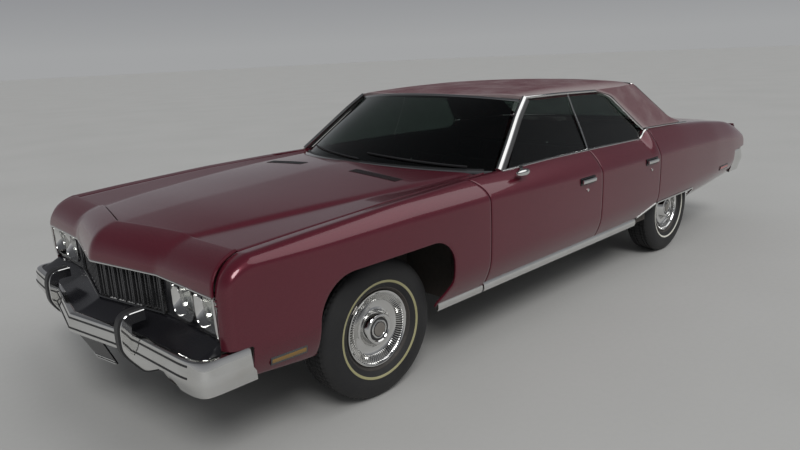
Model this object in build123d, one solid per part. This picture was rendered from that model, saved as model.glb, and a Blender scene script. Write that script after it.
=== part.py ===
from build123d import *
import os

# Full-size four-door hardtop car. Millimetres. +X forward, +Y left, +Z up.
# The origin is on the ground, at mid-length on the centreline.

# Overall places
half_length = 2828.5
body_half_width = 1009.5
front_axle_x = 1745.0
rear_axle_x = -1341.0
front_track = 1628.0
rear_track = 1626.0
panel_gap = 8.0
skin = 10.0
seat_gap = 0.3
beyond = 4500.0

# The nose and tail, each place set behind the bumper's tip by named steps
bumper_lead = 147.5
nose_vee = 103.0
nose_sweep = 10.0
header_length = 149.0
hood_vee = 111.0
bumper_vee = 88.5
bumper_sweep = 28.0
bumper_round = 34.0
bumper_wrap = 246.0
tail_length = 188.5
quarter_tail = 110.0
tail_lean = 78.0
rear_bumper_wrap = 328.5
nose_tip_x = half_length - bumper_lead
nose_corner_x = nose_tip_x - nose_vee
nose_side_x = nose_corner_x - nose_sweep
hood_tip_x = nose_tip_x - header_length
hood_corner_x = hood_tip_x - hood_vee
bumper_corner_x = half_length - bumper_vee
bumper_outer_x = bumper_corner_x - bumper_sweep
bumper_end_x = bumper_outer_x - bumper_wrap
deck_rear_x = tail_length - half_length
quarter_rear_x = deck_rear_x - quarter_tail
tail_face_x = deck_rear_x - tail_lean
rear_bumper_end_x = rear_bumper_wrap - half_length

# Doors and lids
door_front_x = 1028.0
door_split_x = -110.0
door_rear_x = -930.0
door_bottom_z = 394.0
door_depth = 95.0
door_top_depth = 66.0
door_belt_drop = 60.0
door_step = 50.0
door_slant = 26.0
door_slant_z = 760.0
leaf_z = (470.0, 720.0)
leaf_y = 945.0
leaf_height = 50.0
hood_rear_x = 1140.0
hood_rear_side_x = 830.0
hood_rear_half = 860.0
hood_sheet = 24.0
hood_shoulder = 40.0
hood_drop = 6.0
back_panel_x = -1600.0
back_panel_sheet = 16.0
deck_front_x = -1830.0
deck_half_width = 745.0
deck_crown = 14.0
deck_crown_y = 360.0
deck_rise = 8.0
deck_sheet = 24.0
lip_set_in = 60.0
lip_sheet = 6.0

# Body lines: columns x, low_y, low_z, mid_y, mid_z, crease_y, crease_z, crest_y, crest_z
body_lines = [
    (nose_side_x, 928, 405, 968, 560, 975, 848, 925, 884),
    (2173, 938, 372, 998, 560, 1000, 849, 932, 912),
    (1600, 938, 360, 1008, 560, 1008, 853, 930, 943),
    (1021, 938, 360, body_half_width, 560, body_half_width, 854, 908, 958),
    (324, 938, 360, body_half_width, 560, body_half_width, 836, 900, 962),
    (-235, 938, 360, body_half_width, 560, body_half_width, 822, 900, 956),
    (door_rear_x - 1, 938, 372, body_half_width, 560, body_half_width, 818, 900, 943),
    (door_rear_x - panel_gap, 938, 372, body_half_width, 560, body_half_width, 818, 896, 1004),
    (-1415, 938, 385, 1009, 560, 1009, 814, 900, 992),
    (deck_rear_x + 615, 932, 425, 1002, 570, 1002, 798, 900, 950),
    (deck_rear_x + 206, 925, 455, 985, 590, 985, 764, 900, 908),
    (deck_rear_x, 918, 480, 968, 610, 968, 742, 900, 850),
    (quarter_rear_x, 912, 500, 955, 610, 955, 725, 898, 792),
]
# Hood: columns x, edge_y, centre_z, crease_y, crease_z
hood_lines = [
    (hood_tip_x + 28, 862, 893, 440, 882),
    (hood_corner_x, 862, 908, 463, 888),
    (hood_corner_x - 237, 864, 931, 530, 906),
    (1822, 862, 950, 605, 925),
    (1302, 850, 985, 700, 945),
    (820, 824, 998, 745, 956),
]
# Side glass outlines in x and z, ahead of and behind the split
front_pane = [(712, 930), (712, 969), (304, 1310), (304, 1400)]
rear_pane = [(-430, 1400), (-430, 1284), (-590, 1252), (-712, 1146), (-836, 1035), (-872, 985), (-872, 930)]
# Rear wheel opening in x and z
wheel_opening = [(-900, 340), (-920, 466), (-1038, 468), (-1662, 470), (-1592, 402), (-1560, 340)]

# Wheels and tyres
tyre_radius = 346.0
tyre_width = 204.0
tread_width = 160.0
bead_radius = 196.0
rim_width = 158.0
rim_lip = 12.0
hub_face = 42.0
hub_radius = 58.0
drum_radius = 140.0
drum_width = 60.0
axle_radius = 38.0
shaft_radius = 34.0
differential_radius = 130.0
spring_radius = 30.0
arch_front_x = 2150.0
arch_rear_x = 1318.0
arch_foot_x = 1403.0
arch_top_z = 720.0
arch_knee_z = 480.0
arch_foot_z = 380.0
arch_radii = [190.0, 150.0, 60.0, 40.0]
kingpin_y = 742.0
kingpin_radius = 22.0
knuckle_reach = 115.0
arm_sheet = 22.0
arm_half_base = 110.0
arm_half_tip = 28.0
apron_y = 498.0
apron_sheet = 12.0
apron_top_z = 842.0
apron_front_x = nose_side_x - 268
wheel_room = 420.0
wheel_room_top = 340.0
wheel_room_z = 560.0

# Nose
nose_corner_y = 458.0
nose_half_width = 925.0
nose_top_z = 752.0
nose_bottom_z = 572.0
hood_corner_y = 463.0
header_top_z = 878.0
header_top_depth = 26.0
header_depth = 60.0
header_spread = 32.0
header_tuck = 20.0
grille_depth = 46.0
grille_bars = 14
bar_width = 7.0
bar_depth = 26.0
bar_setback = 8.0
frame_width = 16.0
frame_setback = 2.0
lamp_radius = 70.0
lamp_y = (640.0, 828.0)
lamp_centre_z = 676.0
lamp_depth = 60.0
lamp_setback = 14.0
bezel_inner_y = 470.0
bezel_margin = 14.0

# Bumpers
bumper_top_z = 530.0
bumper_crease_z = 452.0
bumper_bottom_z = 372.0
bumper_wall = 26.0
bumper_outer_y = 900.0
bumper_side_y = 968.0
pocket_depth = 88.0
guard_y = 443.0
guard_width = 58.0
# Guard outline: x from the bumper's corner, then z
guard_outline = [(-56, 336), (6, 432), (24, 470), (24, 566), (12, 606), (-12, 620), (-84, 624), (-84, 606),
                 (-22, 600), (-10, 572), (-10, 530), (-26, 480), (-26, 452), (-46, 430), (-112, 336)]
# Where the bumper's bar is cut thinner, from its sides to its middle
waist_z = 440.0
waist_y = (740.0, 850.0)
# The bracket hung under the bumper's middle: half widths, then x behind the tip, at its foot and head
hanger_half = (150.0, 190.0)
hanger_set_in = (103.5, 22.0)
hanger_foot_z = 280.0
hanger_sheet = 8.0
# The dark panel that fills the space from the bumper up to the nose, its set-in measured from each
filler_z = (512.0, nose_bottom_z - 2)
filler_set_in = (30.0, 14.0)
filler_half_width = 912.0
filler_wall = 24.0
bracket_y = 415.0
bracket_width = 60.0
bracket_z = (442.0, 500.0)
bracket_set_in = 8.0
rear_bumper_top_z = 650.0
rear_bumper_crease_z = 560.0
rear_bumper_bottom_z = 450.0
rear_flat_y = 210.0
# Rear bumper's rounded end: x ahead of its tip, then y
rear_corner = [(28.5, 860.0), (58.5, 940.0), (88.5, bumper_side_y)]
rear_bracket_z = (460.0, 512.0)
rear_bracket_set_in = 38.5
plate_bolt_y = 88.9
plate_bolt_radius = 3.5
front_plate_set_in = 25.5
rear_plate_set_in = 16.5
front_plate_x = half_length - front_plate_set_in
front_plate_z = 496.0
front_plate_half = 112.0
front_plate_span = (32.0, 30.0)
front_plate_depth = 33.0
rear_plate_x = rear_plate_set_in - half_length
rear_plate_z = 610.0
rear_plate_half = 165.0
rear_plate_span = (105.0, 28.0)

# Tail
tail_half_width = 889.0
# Tail section: z from its top edge down, outside and inside
tail_z = (858.0, 800.0, 662.0)
tail_inner_z = (560.0, 790.0, 830.0)
tail_bow = (18.0, 16.0)
tail_sheet = 28.0
tail_lamp_y = (380.0, 545.0, 710.0)
tail_lamp_z = (680.0, 760.0)
tail_lamp_half = 66.0
tail_lamp_depth = 24.0
tail_lamp_set_in = 10.0

# Glass and roof
glass = 6.0
shield_thick = 11.0
belt_y = 882.0
rail_gap = 6.0
roof_sheet = 34.0
rail_depth = 9.0
rail_shelf = 50.0
pillar_base_z = 969.0
pillar_top_z = 1316.0
cowl_z = 905.0
cowl_sheet = 14.0
cowl_rest_z = 921.3
cowl_rest = (1000.0, 1040.0, 790.0, 815.0)
cowl_arm_x = 722.0
cowl_post_y = 800.0
cowl_set_in = 20.0
# centre_x, end_x, z, half_width
shield_base = (1112.0, 842.0, 948.0, 800.0)
shield_top = (508.0, 365.0, 1312.0, 668.0)
backlight_base = (-1655.0, -1608.0, 998.6, 752.0)
backlight_top = (-1087.0, -1077.0, 1310.0, 684.0)
# Front pillar: foot and head outlines in x and y
pillar_foot = [(770, 886), (722, 886), (722, 806), (832, 806)]
pillar_head = [(356, 736), (314, 736), (314, 672), (362, 672)]
pillar_base = (732.0, 826.0, 806.0, 828.0)
# Rear quarters of the roof: z, then front x, rear x, front y, rear y and depth
sail_levels = [
    (955, -945, -1800, 893, 872, 40),
    (1146, -735, -1343, 822, 800, 40),
    (1262, -610, -1060, 765, 742, 41),
    (1300, -470, -760, 748, 738, 48),
]
sail_foot_x = (-1415.0, -1850.0)
sail_foot_gap = 4.0
roof_lines = [
    # x, centre_z, shoulder_y, shoulder_z, rail_y, rail_z
    (500, 1340, 560, 1334, 700, 1318),
    (340, 1350, 565, 1343, 738, 1322),
    (0, 1366, 572, 1357, 746, 1322),
    (-440, 1372, 575, 1362, 748, 1308),
    (-760, 1371, 575, 1358, 740, 1296),
    (-1060, 1346, 560, 1330, 690, 1272),
]

# Cabin
floor_z = 300.0
floor_sheet = 12.0
floor_half_width = 788.0
firewall_x = 1150.0
firewall_half_width = 840.0
tunnel_half_width = 125.0
tunnel_wall = 12.0
tunnel_z = 410.0
rear_floor_z = 520.0
rear_floor_x = -955.0
wheelhouse_y = 690.0
wheelhouse_z = 760.0
wheelhouse_rear_x = -1730.0
# The sill's section in y and z
sill_outline = [(780, floor_z), (905, 330), (930, 345), (930, 384), (780, 384)]
sill_rear_x = -890.0
post_inner_y = 780.0
post_outer_y = 822.0
post_top_z = 880.0
post_depth = 100.0
seat_half_width = 640.0
seat_places = (30.0, -800.0)
cushion_length = 420.0
cushion_z = 452.0
seat_front_z = 492.0
seat_back_z = 880.0
dash_half_width = 770.0
# Dashboard section in x and z, under the cowl
dash_x = (900.0, 800.0, 760.0, 750.0, 790.0)
dash_z = (640.0, 700.0, 800.0)
wheel_hub = (490.0, 370.0, 800.0)
wheel_lean = -66.0
wheel_ring = 188.0
wheel_grip = 11.0
column_radius = 24.0
column_length = 360.0
mirror_x = 690.0
mirror_y = (896.0, 1009.0)
mirror_height = 80.0
mirror_depth = 44.0
mirror_foot = 20.0

# Frame and driveline
rail_z = 225.0
rail_outer_y = 655.0
rail_width = 80.0
front_rail_y = (380.0, 450.0)
rear_rail_y = (480.0, 550.0)
rear_rail_z = 450.0
front_box_x = (940.0, 1020.0)
rear_box_x = (-1080.0, -1000.0)
mid_member_x = (450.0, 540.0)
horn_length = 60.0
front_member = (120.0, 40.0)
rear_member = 30.0
frame_front_x = nose_side_x - 8
frame_rear_x = deck_rear_x + 20
engine_x = (1180.0, 1840.0)
engine_half_width = 250.0
engine_z = (330.0, 800.0)
gearbox_rear_x = 700.0
gearbox_half_width = 110.0
gearbox_z = (310.0, 400.0)
mount_x = (1480.0, 1560.0)
mount_z = (250.0, 340.0, 380.0)
radiator_x = nose_side_x - 338
radiator_depth = 60.0
radiator_z = 820.0
tank_x = (deck_rear_x + 100, deck_rear_x + 680)
tank_half_width = 420.0
tank_z = 400.0
pipe_x = (deck_rear_x - 10, 1450.0)
pipe_y = 300.0
# The pipe's height ahead of the rear axle, over it and behind it
pipe_z = (190.0, 440.0, 345.0)
# Where the pipe starts and ends its rise and its fall, ahead of the rear axle
pipe_turns = (380.0, 150.0, -140.0, -300.0)
pipe_bend = 110.0
pipe_radius = 25.0
muffler_x = (-720.0, -200.0)
muffler_radius = 62.0
hanger_size = (30.0, 20.0)

parts = {}


def lines_at(table, x):
    """Returns a table's columns at x, by straight lines between its rows."""
    rows = sorted(table, key=lambda row: -row[0])
    if x >= rows[0][0]:
        return rows[0][1:]
    for front, rear in zip(rows, rows[1:]):
        if x >= rear[0]:
            share = (front[0] - x) / (front[0] - rear[0])
            return tuple(a + (b - a) * share for a, b in zip(front[1:], rear[1:]))
    return rows[-1][1:]


def stations(table, x_front, x_rear):
    """The table's own stations inside a panel, with the panel's two ends."""
    inside = [row[0] for row in table if x_rear + 20 < row[0] < x_front - 20]
    return [x_front] + sorted(inside, reverse=True) + [x_rear]


def section(x, points):
    return Plane.YZ.offset(x) * make_face(Polyline(*points, close=True))


def level(z, points):
    return Plane.XY.offset(z) * make_face(Polyline(*points, close=True))


def block(x0, x1, y0, y1, z0, z1):
    size = Box(x1 - x0, y1 - y0, z1 - z0)
    return Pos((x0 + x1) / 2, (y0 + y1) / 2, (z0 + z1) / 2) * size


def both(shape):
    return [shape, mirror(shape, about=Plane.XZ)]


def prism_y(points, y0, y1):
    """A plate with an outline in X and Z, between two Y places."""
    outline = make_face(Polyline(*points, close=True))
    plate = extrude(Plane.XZ * outline, y0 - y1)
    return Pos(0, y0, 0) * plate


def save(name, shape):
    shapes = shape if isinstance(shape, list) else [shape]
    solids = [solid for piece in shapes for solid in piece.solids()]
    parts[name] = Compound(children=solids) if len(solids) > 1 else solids[0]


def side_skin(x_front, x_rear, seam_y, seam_rise):
    """A sheet from the sill over the crest to the seam of a lid."""
    faces = []
    for x in stations(body_lines, x_front, x_rear):
        low_y, low_z, mid_y, mid_z, crease_y, crease_z, crest_y, crest_z = lines_at(body_lines, x)
        edge_y = seam_y(x)
        outer = [(low_y, low_z), (mid_y, mid_z), (crease_y, crease_z), (crest_y, crest_z),
                 (edge_y, crest_z + seam_rise)]
        inner = [(edge_y, crest_z + seam_rise - skin), (crest_y - skin, crest_z - 1.3 * skin),
                 (crease_y - skin, crease_z - skin / 3), (mid_y - skin, mid_z), (low_y - skin, low_z)]
        faces.append(section(x, outer + inner))
    return loft(faces, ruled=True)


def front_fenders():
    fender = side_skin(nose_side_x, door_front_x + panel_gap,
                       lambda x: lines_at(hood_lines, x)[0] + panel_gap, -hood_drop)
    arch = FilletPolyline((arch_front_x, 0), (arch_front_x, arch_top_z - 4), (arch_rear_x, arch_top_z),
                          (arch_rear_x, arch_knee_z), (arch_foot_x, arch_foot_z), (arch_foot_x, 0),
                          radius=arch_radii, close=False)
    opening = make_face([arch, Line(arch @ 1, arch @ 0)])
    fender -= Pos(0, beyond, 0) * extrude(Plane.XZ * opening, beyond)
    fender -= block(bumper_end_x - panel_gap, beyond, bumper_side_y - pocket_depth, beyond, 0,
                    bumper_top_z + panel_gap)
    for side, shape in zip(("left", "right"), both(fender)):
        save(f"front_fender_{side}", shape)


def door(x_front, x_rear):
    """A whole door's depth, its rear edge slanted so that it swings clear."""
    faces = []
    for x in stations(body_lines, x_front, x_rear):
        low_y, low_z, mid_y, mid_z, crease_y, crease_z, crest_y, crest_z = lines_at(body_lines, x)
        share = (door_bottom_z - low_z) / (mid_z - low_z)
        foot_y = low_y + (mid_y - low_y) * share
        inner_y = crest_y - door_top_depth
        trim_y = mid_y - door_depth - door_step
        faces.append(section(x, [
            (foot_y, door_bottom_z), (mid_y, mid_z), (crease_y, crease_z), (crest_y, crest_z),
            (inner_y, crest_z), (inner_y, crest_z - door_belt_drop),
            (trim_y, crease_z - door_belt_drop), (trim_y, mid_z),
            (foot_y - door_depth, door_bottom_z)]))
    shape = loft(faces, ruled=True)
    slant = Plane.XY * make_face(Polyline(
        (x_rear - door_step, door_slant_z), (x_rear + 2.2 * door_slant, door_slant_z),
        (x_rear, body_half_width), (x_rear - door_step, body_half_width + door_step), close=True))
    return shape - extrude(slant, beyond)


def doors():
    front = door(door_front_x, door_split_x + panel_gap / 2)
    rear = door(door_split_x - panel_gap / 2, door_rear_x)
    rear -= prism_y([(-700, 0), (-700, 398), (-925, 466), (-940, 466), (-940, 0)], 0, beyond)
    for place, shape in (("front", front), ("rear", rear)):
        for side, copy in zip(("left", "right"), both(shape)):
            save(f"door_{place}_{side}", copy)


def side_pane(x_front, x_rear, outline):
    """A pane that leans from the belt to the roof rail, cut to its outline in X and Z."""
    faces = []
    for x in stations(roof_lines + body_lines, x_front, x_rear):
        base_z = lines_at(body_lines, x)[7] + seat_gap
        rail_y, rail_z = lines_at(roof_lines, x)[3:]
        top_z = rail_z - rail_depth - rail_gap
        faces.append(section(x, [(belt_y, base_z), (rail_y - 6, top_z), (rail_y - 6 - glass, top_z),
                                 (belt_y - glass, base_z)]))
    return loft(faces, ruled=True) & prism_y(outline, 0, beyond)


def side_panes():
    low_z, high_z = front_pane[0][1], front_pane[-1][1]
    ahead, behind = door_split_x + 20, door_split_x - 20
    front_edge = door_split_x + panel_gap / 2 + 2
    rear_edge = door_split_x - panel_gap / 2 - 2
    front = side_pane(front_pane[0][0] + 48, front_edge, front_pane + [(behind, high_z), (behind, low_z)])
    rear = side_pane(rear_edge, rear_pane[-1][0] - 58, [(ahead, low_z), (ahead, high_z)] + rear_pane)
    for place, shape in (("front", front), ("rear", rear)):
        for side, copy in zip(("left", "right"), both(shape)):
            save(f"door_glass_{place}_{side}", copy)


def hood():
    faces = []
    for x, edge_y, centre_z, crease_y, crease_z in hood_lines:
        edge_z = lines_at(body_lines, x)[7] - hood_drop
        half = [(0, centre_z), (crease_y, crease_z), (crease_y + hood_shoulder, edge_z - hood_drop),
                (edge_y, edge_z)]
        top = [(-y, z) for y, z in reversed(half[1:])] + half
        under = [(y, z - hood_sheet) for y, z in reversed(top)]
        faces.append(section(x, top + under))
    shape = loft(faces, ruled=True)
    ahead = [(hood_tip_x, 0), (hood_corner_x, hood_corner_y), (hood_corner_x, beyond), (beyond, beyond),
             (beyond, -beyond), (hood_corner_x, -beyond), (hood_corner_x, -hood_corner_y)]
    shape -= extrude(level(0, ahead), beyond)
    rear_edge = ThreePointArc((hood_rear_side_x, hood_rear_half), (hood_rear_x, 0),
                              (hood_rear_side_x, -hood_rear_half))
    behind = make_face([rear_edge, Polyline(rear_edge @ 1, (0, -hood_rear_half), (0, hood_rear_half),
                                            rear_edge @ 0)])
    shape -= extrude(Plane.XY * behind, beyond)
    save("hood", shape)


def header_panel():
    edge_y = nose_half_width - header_tuck
    upper_front = [(hood_corner_x + panel_gap, -edge_y), (hood_corner_x + panel_gap, -hood_corner_y),
                   (hood_tip_x + panel_gap, 0), (hood_corner_x + panel_gap, hood_corner_y),
                   (hood_corner_x + panel_gap, edge_y)]
    lower_y = nose_half_width + header_spread
    lower_front = [(nose_side_x, -lower_y), (nose_corner_x, -nose_corner_y), (nose_tip_x, 0),
                   (nose_corner_x, nose_corner_y), (nose_side_x, lower_y)]
    upper = [(x + header_top_depth, y) for x, y in upper_front] + [(x, y) for x, y in reversed(upper_front)]
    lower = lower_front + [(x - header_depth, y) for x, y in reversed(lower_front)]
    shape = loft([level(nose_top_z + seat_gap, lower), level(header_top_z, upper)], ruled=True)
    for side in both(fender_room()):
        shape -= side
    save("header_panel", shape)


def fender_room():
    """The space that a fender's front end takes beside the nose."""
    low_y, low_z, mid_y, mid_z, crease_y, crease_z, crest_y, crest_z = lines_at(body_lines, nose_side_x)
    seam = lines_at(hood_lines, nose_side_x)[0] + panel_gap - seat_gap
    under = skin + seat_gap
    room = section(0, [(seam, beyond), (seam, crest_z - hood_drop - under - 0.5),
                       (crest_y - under, crest_z - 1.3 * under - 1), (crease_y - under, crease_z - under),
                       (mid_y - under, mid_z), (beyond, mid_z), (beyond, beyond)])
    return extrude(room, beyond)


def nose_x(y):
    """The V of the nose in plan."""
    y = abs(y)
    if y < nose_corner_y:
        return nose_tip_x + (nose_corner_x - nose_tip_x) * y / nose_corner_y
    share = (y - nose_corner_y) / (nose_half_width - nose_corner_y)
    return nose_corner_x + (nose_side_x - nose_corner_x) * share


def nose_strip(y0, y1, setback, depth):
    ys = [y0] + [y for y in (-nose_corner_y, 0.0, nose_corner_y) if y0 < y < y1] + [y1]
    front = [(nose_x(y) - setback, y) for y in ys]
    return front + [(x - depth, y) for x, y in reversed(front)]


def grille_and_bezels():
    inner = nose_corner_y - panel_gap
    strip = nose_strip(-inner, inner, frame_setback, grille_depth)
    top = extrude(level(nose_top_z - frame_width, strip), frame_width)
    bottom = extrude(level(nose_bottom_z, strip), frame_width)
    height = nose_top_z - nose_bottom_z
    shape = top + bottom
    pitch = inner / (grille_bars + 0.5)
    for n in range(-grille_bars, grille_bars + 1):
        y = n * pitch
        bar = nose_strip(y - bar_width / 2, y + bar_width / 2, bar_setback, bar_depth)
        shape += extrude(level(nose_bottom_z, bar), height)
    save("grille", shape)

    outer = nose_half_width - bezel_margin
    strip = nose_strip(bezel_inner_y, outer, frame_setback, grille_depth)
    rim = extrude(level(nose_bottom_z, strip), height)
    for y in lamp_y:
        lamp_place = Pos(nose_x(y), y, lamp_centre_z) * Rot(0, 90, 0)
        rim -= lamp_place * Cylinder(lamp_radius + seat_gap, 3 * lamp_depth)
    save("headlamp_bezels", both(rim))

    lamps = []
    for y in lamp_y:
        lamp = Pos(nose_x(y) - lamp_depth / 2 - lamp_setback, y, lamp_centre_z) * Rot(0, 90, 0)
        lamps += both(lamp * Cylinder(lamp_radius, lamp_depth))
    save("headlamps", lamps)


def bumper_ring(outline, wall, setback):
    """One level of a bumper: the outline from the centre to an end, and its inside."""
    outer = [(x - setback * sign, y - (setback / 3 if y > bumper_outer_y else 0))
             for x, y, sign, _ in outline]
    inner = [(x - (setback + wall) * sign if keep else x,
              y - (setback / 3 + wall if y > bumper_outer_y else 0)) for x, y, sign, keep in outline]
    full = outer[::-1] + [(x, -y) for x, y in outer[1:]]
    back = [(x, -y) for x, y in reversed(inner)] + inner[1:]
    return full + back


def plate_bolts(x, z):
    """The two bolt holes of a number plate."""
    hole = Pos(x, plate_bolt_y, z) * Rot(0, 90, 0) * Cylinder(plate_bolt_radius, 4 * bumper_wall)
    return hole + mirror(hole, about=Plane.XZ)


def front_bumper():
    # x, y, direction of the setback, whether the wall is counted in x
    outline = [(half_length, 0, 1, 1), (bumper_corner_x, nose_corner_y, 1, 1),
               (bumper_outer_x, bumper_outer_y, 1, 1), (bumper_outer_x - bumper_round, bumper_side_y, 1, 1),
               (bumper_end_x, bumper_side_y, 0, 0)]
    shape = loft([level(z, bumper_ring(outline, bumper_wall, setback)) for z, setback in (
        (bumper_bottom_z, 34), (bumper_crease_z, 0), (bumper_top_z, 18))], ruled=True)
    half = [(waist_y[0], waist_z), (waist_y[1], bumper_bottom_z), (waist_y[1], 0)]
    middle = [(-y, z) for y, z in half[::-1]] + half
    shape -= extrude(section(0, middle), beyond)
    rings = []
    for z, half, set_in in zip((hanger_foot_z, waist_z + 10), hanger_half, hanger_set_in):
        tip_x = half_length - set_in
        side_x = tip_x - half * bumper_vee / nose_corner_y
        front = [(side_x, -half), (tip_x, 0), (side_x, half)]
        rings.append(level(z, front + [(x - hanger_sheet, y) for x, y in front[::-1]]))
    shape += loft(rings, ruled=True)
    rings = []
    for z, set_in, lines in zip(filler_z, filler_set_in, (
            (half_length, bumper_corner_x, bumper_outer_x), (nose_tip_x, nose_corner_x, nose_side_x))):
        half = list(zip([x - set_in for x in lines], (0, nose_corner_y, filler_half_width)))
        front = [(x, -y) for x, y in half[:0:-1]] + half
        rings.append(level(z, front + [(x - filler_wall, y) for x, y in front[::-1]]))
    shape += loft(rings, ruled=True)
    for y in (-guard_y, guard_y):
        outline = [(bumper_corner_x + x, z) for x, z in guard_outline]
        shape += prism_y(outline, y - guard_width / 2, y + guard_width / 2)
    for y in (-bracket_y, bracket_y):
        shape += block(frame_front_x + seat_gap, bumper_corner_x - bracket_set_in, y - bracket_width / 2,
                       y + bracket_width / 2, *bracket_z)
    low_z, high_z = front_plate_z - front_plate_span[0], front_plate_z + front_plate_span[1]
    shape += block(front_plate_x - front_plate_depth, front_plate_x, -front_plate_half, front_plate_half,
                   low_z, high_z)
    shape -= block(front_plate_x, beyond, -front_plate_half, front_plate_half, low_z, high_z)
    save("front_bumper", shape - plate_bolts(front_plate_x, front_plate_z))


def rear_bumper():
    outline = [(-half_length, 0, -1, 1), (-half_length, rear_flat_y, -1, 1)]
    outline += [(x - half_length, y, -1, 1) for x, y in rear_corner]
    outline += [(rear_bumper_end_x, bumper_side_y, 0, 0)]
    shape = loft([level(z, bumper_ring(outline, bumper_wall, setback)) for z, setback in (
        (rear_bumper_bottom_z, 30), (rear_bumper_crease_z, 0), (rear_bumper_top_z, 16))], ruled=True)
    bracket_y = sum(rear_rail_y) / 2
    for y in (-bracket_y, bracket_y):
        shape += block(rear_bracket_set_in - half_length, frame_rear_x - seat_gap, y - bracket_width / 2,
                       y + bracket_width / 2, *rear_bracket_z)
    shape -= block(-beyond, rear_plate_x, -rear_plate_half, rear_plate_half,
                   rear_plate_z - rear_plate_span[0], rear_plate_z + rear_plate_span[1])
    save("rear_bumper", shape - plate_bolts(rear_plate_x, rear_plate_z))


def quarter_panels():
    panel = side_skin(door_rear_x - panel_gap, quarter_rear_x, lambda x: deck_half_width + panel_gap,
                      deck_rise)
    panel -= prism_y(wheel_opening, 0, beyond)
    panel -= block(-beyond, deck_rear_x - panel_gap, 0, tail_half_width + 0.7, 0, beyond)
    pocket_x = rear_bumper_end_x + 2.5 * panel_gap
    low_z, high_z = rear_bumper_top_z + 4, rear_bumper_top_z + 14
    panel -= prism_y([(pocket_x, low_z), (pocket_x - 320, high_z), (-beyond, high_z), (-beyond, 0),
                      (pocket_x, 0)], 0, beyond)
    for side, shape in zip(("left", "right"), both(panel)):
        save(f"quarter_panel_{side}", shape)


def deck_edge_z(x):
    return lines_at(body_lines, x)[7] + deck_rise


def deck_section(x, half_width, sheet, drop=0):
    edge_z = deck_edge_z(x) - drop
    top = [(-half_width, edge_z), (-deck_crown_y, edge_z + deck_crown * 0.7), (0, edge_z + deck_crown),
           (deck_crown_y, edge_z + deck_crown * 0.7), (half_width, edge_z)]
    return section(x, top + [(y, z - sheet) for y, z in reversed(top)])


def trunk_lid():
    places = stations(body_lines, deck_front_x, deck_rear_x)
    faces = [deck_section(x, deck_half_width, deck_sheet) for x in places]
    save("trunk_lid", loft(faces, ruled=True))
    width = deck_half_width + panel_gap - seat_gap
    places = (back_panel_x, deck_front_x + panel_gap)
    panel = loft([deck_section(x, width, back_panel_sheet) for x in places], ruled=True)
    drop = deck_sheet + seat_gap
    lip_half = deck_half_width - lip_set_in
    lip_places = (deck_front_x + 2 * panel_gap, deck_front_x - 4 * panel_gap)
    panel += loft([deck_section(x, lip_half, lip_sheet, drop) for x in lip_places], ruled=True)
    web_places = (deck_front_x + 2 * panel_gap, deck_front_x + panel_gap)
    panel += loft([deck_section(x, lip_half, drop) for x in web_places], ruled=True)
    save("upper_back_panel", panel)


def tail_panel():
    top_x = deck_rear_x - panel_gap
    foot_z = rear_floor_z + seat_gap
    inner_x = tail_face_x + tail_sheet
    outline = [(top_x, tail_z[0]), (tail_face_x + tail_bow[0], tail_z[1]), (tail_face_x, tail_z[2]),
               (tail_face_x, foot_z), (inner_x, foot_z), (inner_x, tail_inner_z[0]),
               (inner_x + tail_bow[1], tail_inner_z[1]), (top_x, tail_inner_z[2])]
    panel = prism_y(outline, -tail_half_width, tail_half_width)
    lens_x = tail_face_x + tail_lamp_set_in
    low_z, high_z = tail_lamp_z
    lamps = []
    for y in tail_lamp_y:
        recess = block(-beyond, 0, y - tail_lamp_half, y + tail_lamp_half, low_z, high_z)
        panel -= recess
        panel -= mirror(recess, about=Plane.XZ)
        lens_half = tail_lamp_half - seat_gap
        lamps += both(block(lens_x, lens_x + tail_lamp_depth, y - lens_half, y + lens_half,
                            low_z + seat_gap, high_z - seat_gap))
    save("tail_panel", panel)
    save("tail_lamps", lamps)


def roof_shell():
    faces = []
    for x, centre_z, shoulder_y, shoulder_z, rail_y, rail_z in roof_lines:
        half = [(0, centre_z), (shoulder_y, shoulder_z), (rail_y, rail_z)]
        low = [(0, centre_z - roof_sheet), (shoulder_y - 10, shoulder_z - roof_sheet),
               (rail_y - rail_shelf, rail_z - rail_depth), (rail_y, rail_z - rail_depth)]
        top = [(-y, z) for y, z in reversed(half[1:])] + half
        under = low[::-1] + [(-y, z) for y, z in low[1:]]
        faces.append(section(x, top + under))
    shape = loft(faces, ruled=True)
    centre_x, end_x, _, half_width = shield_top
    set_in = shield_thick + seat_gap
    front_edge = ThreePointArc((end_x - set_in, half_width), (centre_x - set_in, 0),
                               (end_x - set_in, -half_width))
    ahead = make_face([front_edge, Polyline(front_edge @ 1, (320, -800), (900, -800), (900, 800), (320, 800),
                                            front_edge @ 0)])
    shape -= Pos(0, 0, 1200) * extrude(Plane.XY * ahead, 300)
    pillar = loft([level(pillar_base_z, pillar_foot), level(pillar_top_z, pillar_head)], ruled=True)
    pillar += block(*pillar_base, cowl_z + seat_gap, pillar_base_z + 2)
    rings = []
    for z, front_x, rear_x, front_y, rear_y, depth in sail_levels:
        rings.append(level(z, [(front_x, front_y), (rear_x, rear_y), (rear_x, rear_y - depth),
                               (front_x, front_y - depth)]))
    sail = loft(rings, ruled=True)
    foot = [(x, lines_at(body_lines, x)[7] + sail_foot_gap + seat_gap)
            for x in (door_rear_x - panel_gap, *sail_foot_x)]
    foot += [(sail_foot_x[-1], 0), (rear_pane[-1][0] - 8, 0)]
    sail -= prism_y([(rear_pane[-1][0] - 8, foot[0][1])] + foot, 0, beyond)
    for piece in both(pillar) + both(sail):
        shape += piece
    save("roof_shell", shape)


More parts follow.
